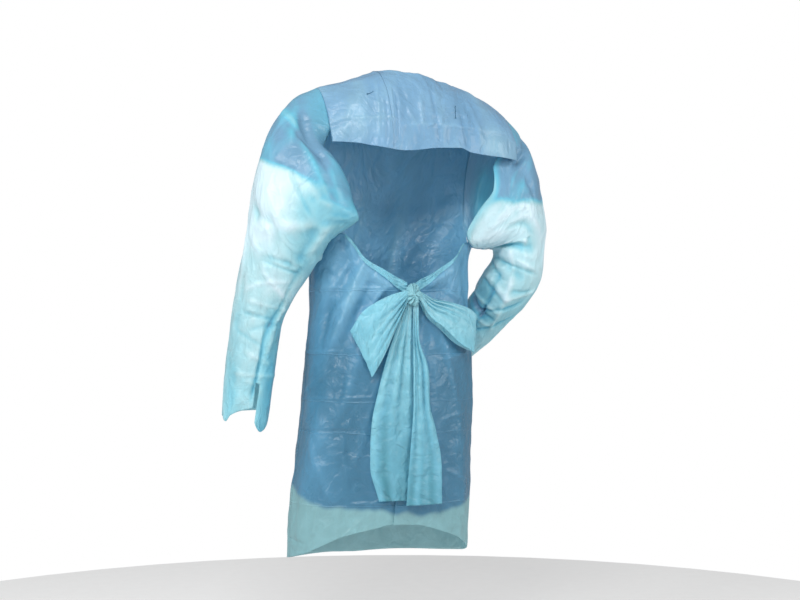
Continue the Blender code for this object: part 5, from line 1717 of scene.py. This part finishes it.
class APRON_OT_sleeves(bpy.types.Operator):
    """Builds the two sleeves with their loose back edges and thumb slits"""

    bl_idname = "apron.sleeves"
    bl_label = "Sleeves"

    def execute(self, context):
        turns = finer(SLEEVE_TURNS, SLEEVE_ACROSS)
        rows = SLEEVE_ROWS * FINE_UP
        slit = thumb_cut(turns, rows)
        for side, word in SIDES:
            points, lift = sleeve_grid(side, turns, rows)
            cut = slit[:, ::-1] if side > 0 else slit
            depth = sleeve_depth(side, points, turns[::-1] if side > 0 else turns)
            # Creases painted deeper and ridges paler: painted shade and painted highlight over the relief.
            depth = np.clip(depth - SLEEVE_CREASE_SHADE_TONE * lift, 0, 1)
            piece = sheet(f"sleeve_{word}_film", points, sleeve_film(), depth, wrap=True, cut=cut)
            finish(piece, f"sleeve_{word}", "sleeve_film", flat=(0.48, 0.76), held="hung",
                   rests_on=["body_front", "back_yoke"], area=0.32 if side > 0 else 0.25)
        return {"FINISHED"}


# Tones of the ties and the bow. A tail's runs from its lower end up to the knot, with streaks down it.
TIE_DEPTH = 0.45
KNOT_DEPTH = 0.36
LOOP_DEPTH = {1: 0.42, -1: 0.22}
TAIL_DEPTH = (0.85, 0.20)
TAIL_STREAK = 0.30
TAIL_STREAKS = (5, 2)


def tail_depth(side, lift):
    """How deep the blue of a bow's tail looks."""
    tone = np.linspace(*TAIL_DEPTH, lift.shape[0])[:, None]
    streaks_across, streaks_along = TAIL_STREAKS
    across = np.linspace(0, streaks_across, lift.shape[1])[None, :] + 0 * tone
    tone = tone + TAIL_STREAK * lattice_noise(across, tone * streaks_along, TAIL_SEED + side)
    # Creases painted deeper and ridges paler: painted shade and painted highlight over the relief.
    return np.clip(tone - CREASE_SHADE_TONE * lift, 0, 1)


class APRON_OT_bow(bpy.types.Operator):
    """Builds the waist ties and their bow: the knot, two loops and two tails"""

    bl_idname = "apron.bow"
    bl_label = "Ties and bow"

    def execute(self, context):
        knot = make_knot("bow_knot_film", knot_film())
        finish(knot, "bow_knot", "tie_film")
        for side, word in SIDES:
            points = tie_grid(side, TIE_COLUMNS * BOW_ACROSS, TIE_ROWS * TIE_UP)
            tie = sheet(f"waist_tie_{word}_film", points, tie_film(), TIE_DEPTH)
            finish(tie, f"waist_tie_{word}", "tie_film", flat=(0.03, 0.15), held="gathered",
                   rests_on=[f"back_wing_{word}"], area=0.0026, with_pieces=[knot] if side > 0 else [])
            points, lift = loop_grid(side, LOOP_COLUMNS * BOW_ACROSS, LOOP_ROWS * BOW_UP)
            # Creases painted deeper and ridges paler: painted shade and painted highlight over the relief.
            tone = np.clip(LOOP_DEPTH[side] - BOW_CREASE_SHADE_TONE * lift, 0, 1)
            loop = sheet(f"bow_loop_{word}_film", points, tie_film(), tone)
            finish(loop, f"bow_loop_{word}", "tie_film", flat=(0.10, 0.30), held="gathered",
                   rests_on=["bow_knot"], area=0.024)
            points, lift = tail_grid(side, TAIL_COLUMNS * BOW_ACROSS, TAIL_ROWS * BOW_UP)
            tail = sheet(f"bow_tail_{word}_film", points, tie_film(), tail_depth(side, lift))
            finish(tail, f"bow_tail_{word}", "tie_film", flat=(0.10, 0.45), held="hung",
                   rests_on=["bow_knot"], area=0.034)
        return {"FINISHED"}


def make_knot(name, material):
    """The bow's knot: film wound round itself, with folds drawn into it."""
    segments, rings = KNOT_STEPS
    bpy.ops.object.select_all(action="DESELECT")
    bpy.ops.mesh.primitive_uv_sphere_add(segments=segments, ring_count=rings, radius=1)
    knot = bpy.context.active_object
    knot.name = knot.data.name = name
    flat = np.empty(len(knot.data.vertices) * 3)
    knot.data.vertices.foreach_get("co", flat)
    knot.data.vertices.foreach_set("co", knot_shape(flat.reshape(-1, 3)).ravel())
    shade = knot.data.attributes.new("Depth", "FLOAT", "POINT")
    shade.data.foreach_set("value", np.full(len(knot.data.vertices), KNOT_DEPTH))
    knot.data.shade_smooth()
    knot.data.materials.append(material)
    return knot


# The camera looks level at the garment's back, from a little to its left.
CAMERA_TURN = np.radians(160)
CAMERA_REACH = 3.5
CAMERA_HEIGHT = -0.525
CAMERA_LENS = 67.5
# The studio: a round floor and three square lights, each named after the setting of its power.
FLOOR_RADIUS = 2.0
FLOOR_SIDES = 64
FLOOR_ROUGHNESS = 0.9
FLOOR_MOTTLE_MM = 40
FLOOR_TONES = (0.88, 0.92)
Lamp = namedtuple("Lamp", "name place size")
LAMPS = (
    Lamp("key", (2.8, 1.6, 0.8), 1.4),
    Lamp("fill", (-2.4, 2.2, 0.2), 1.6),
    Lamp("front", (1.3, 2.7, 1.7), 0.9),
)


class APRON_OT_stage(bpy.types.Operator):
    """Builds the pale floor, the soft lights and the camera"""

    bl_idname = "apron.stage"
    bl_label = "Studio"

    def execute(self, context):
        settings = context.scene.stage_settings
        away = Vector((np.sin(CAMERA_TURN), -np.cos(CAMERA_TURN), 0))
        aim = Vector((0, 0, CAMERA_HEIGHT))
        bpy.ops.mesh.primitive_circle_add(vertices=FLOOR_SIDES, radius=FLOOR_RADIUS, fill_type="NGON",
                                          location=(0, 0, settings.floor_height))
        floor = context.active_object
        floor.name = "floor"
        floor.data.materials.append(plain_floor())
        camera = bpy.data.objects.new("camera", bpy.data.cameras.new("camera"))
        context.scene.collection.objects.link(camera)
        camera.location = aim + away * CAMERA_REACH
        camera.rotation_euler = (-away).to_track_quat("-Z", "Y").to_euler()
        camera.data.lens = CAMERA_LENS
        context.scene.camera = camera
        for lamp in LAMPS:
            add_light(lamp, aim, getattr(settings, f"{lamp.name}_power"))
        world = context.scene.world or bpy.data.worlds.new("studio")
        context.scene.world = world
        world.use_nodes = True
        tree = world.node_tree
        tree.nodes.clear()
        soft = add(tree, "ShaderNodeBackground", {"Color": (1, 1, 1, 1), "Strength": settings.sky})
        white = add(tree, "ShaderNodeBackground", {"Color": (1, 1, 1, 1), "Strength": 1.0})
        seen = add(tree, "ShaderNodeLightPath")
        sky = add(tree, "ShaderNodeMixShader",
                  links={"Fac": seen.outputs["Is Camera Ray"], 1: soft, 2: white})
        add(tree, "ShaderNodeOutputWorld", links={"Surface": sky})
        context.scene.view_settings.view_transform = "Standard"
        return {"FINISHED"}


def plain_floor():
    """Matte painted floor, pale, with the faint mottle of a roller coat."""
    material = bpy.data.materials.new("matte_paint_floor")
    material.use_nodes = True
    tree = material.node_tree
    shader = tree.nodes["Principled BSDF"]
    shader.inputs["Roughness"].default_value = FLOOR_ROUGHNESS
    darkest, palest = FLOOR_TONES
    place = add(tree, "ShaderNodeTexCoord")
    mottle = add(tree, "ShaderNodeTexNoise", {"Scale": per_mm(FLOOR_MOTTLE_MM)},
                 {"Vector": place.outputs["Object"]})
    tone = add(tree, "ShaderNodeMapRange", {"To Min": darkest, "To Max": palest}, {"Value": mottle})
    tree.links.new(tone.outputs["Result"], shader.inputs["Base Color"])
    return material


def add_light(lamp, aim, power):
    """One large soft square light that faces the garment."""
    light = bpy.data.lights.new(lamp.name, "AREA")
    light.energy = power
    light.size = lamp.size
    shown = bpy.data.objects.new(lamp.name, light)
    bpy.context.scene.collection.objects.link(shown)
    shown.location = lamp.place
    shown.rotation_euler = (aim - Vector(lamp.place)).to_track_quat("-Z", "Y").to_euler()


OPERATORS = (
    APRON_OT_front,
    APRON_OT_yoke,
    APRON_OT_wings,
    APRON_OT_sleeves,
    APRON_OT_bow,
    APRON_OT_stage,
)


class APRON_PT_panel(bpy.types.Panel):
    """Lists the pieces and their settings"""

    bl_label = "Film apron"
    bl_idname = "APRON_PT_panel"
    bl_space_type = "VIEW_3D"
    bl_region_type = "UI"
    bl_category = "Apron"

    def draw(self, context):
        for operator in OPERATORS:
            self.layout.operator(operator.bl_idname)
        for group in (context.scene.film_settings, context.scene.stage_settings):
            for name in group.bl_rna.properties.keys():
                if name not in {"rna_type", "name"}:
                    self.layout.prop(group, name)


CLASSES = (FilmSettings, StageSettings, *OPERATORS, APRON_PT_panel)


def register():
    """Registers the classes and hangs the settings on the scene."""
    for entry in CLASSES:
        bpy.utils.register_class(entry)
    bpy.types.Scene.film_settings = bpy.props.PointerProperty(type=FilmSettings)
    bpy.types.Scene.stage_settings = bpy.props.PointerProperty(type=StageSettings)


def unregister():
    """Takes the settings and the classes away again."""
    del bpy.types.Scene.film_settings
    del bpy.types.Scene.stage_settings
    for entry in reversed(CLASSES):
        bpy.utils.unregister_class(entry)


def main():
    """Builds every piece in order."""
    register()
    for operator in OPERATORS:
        group, name = operator.bl_idname.split(".")
        getattr(getattr(bpy.ops, group), name)()


if __name__ == "__main__":
    main()
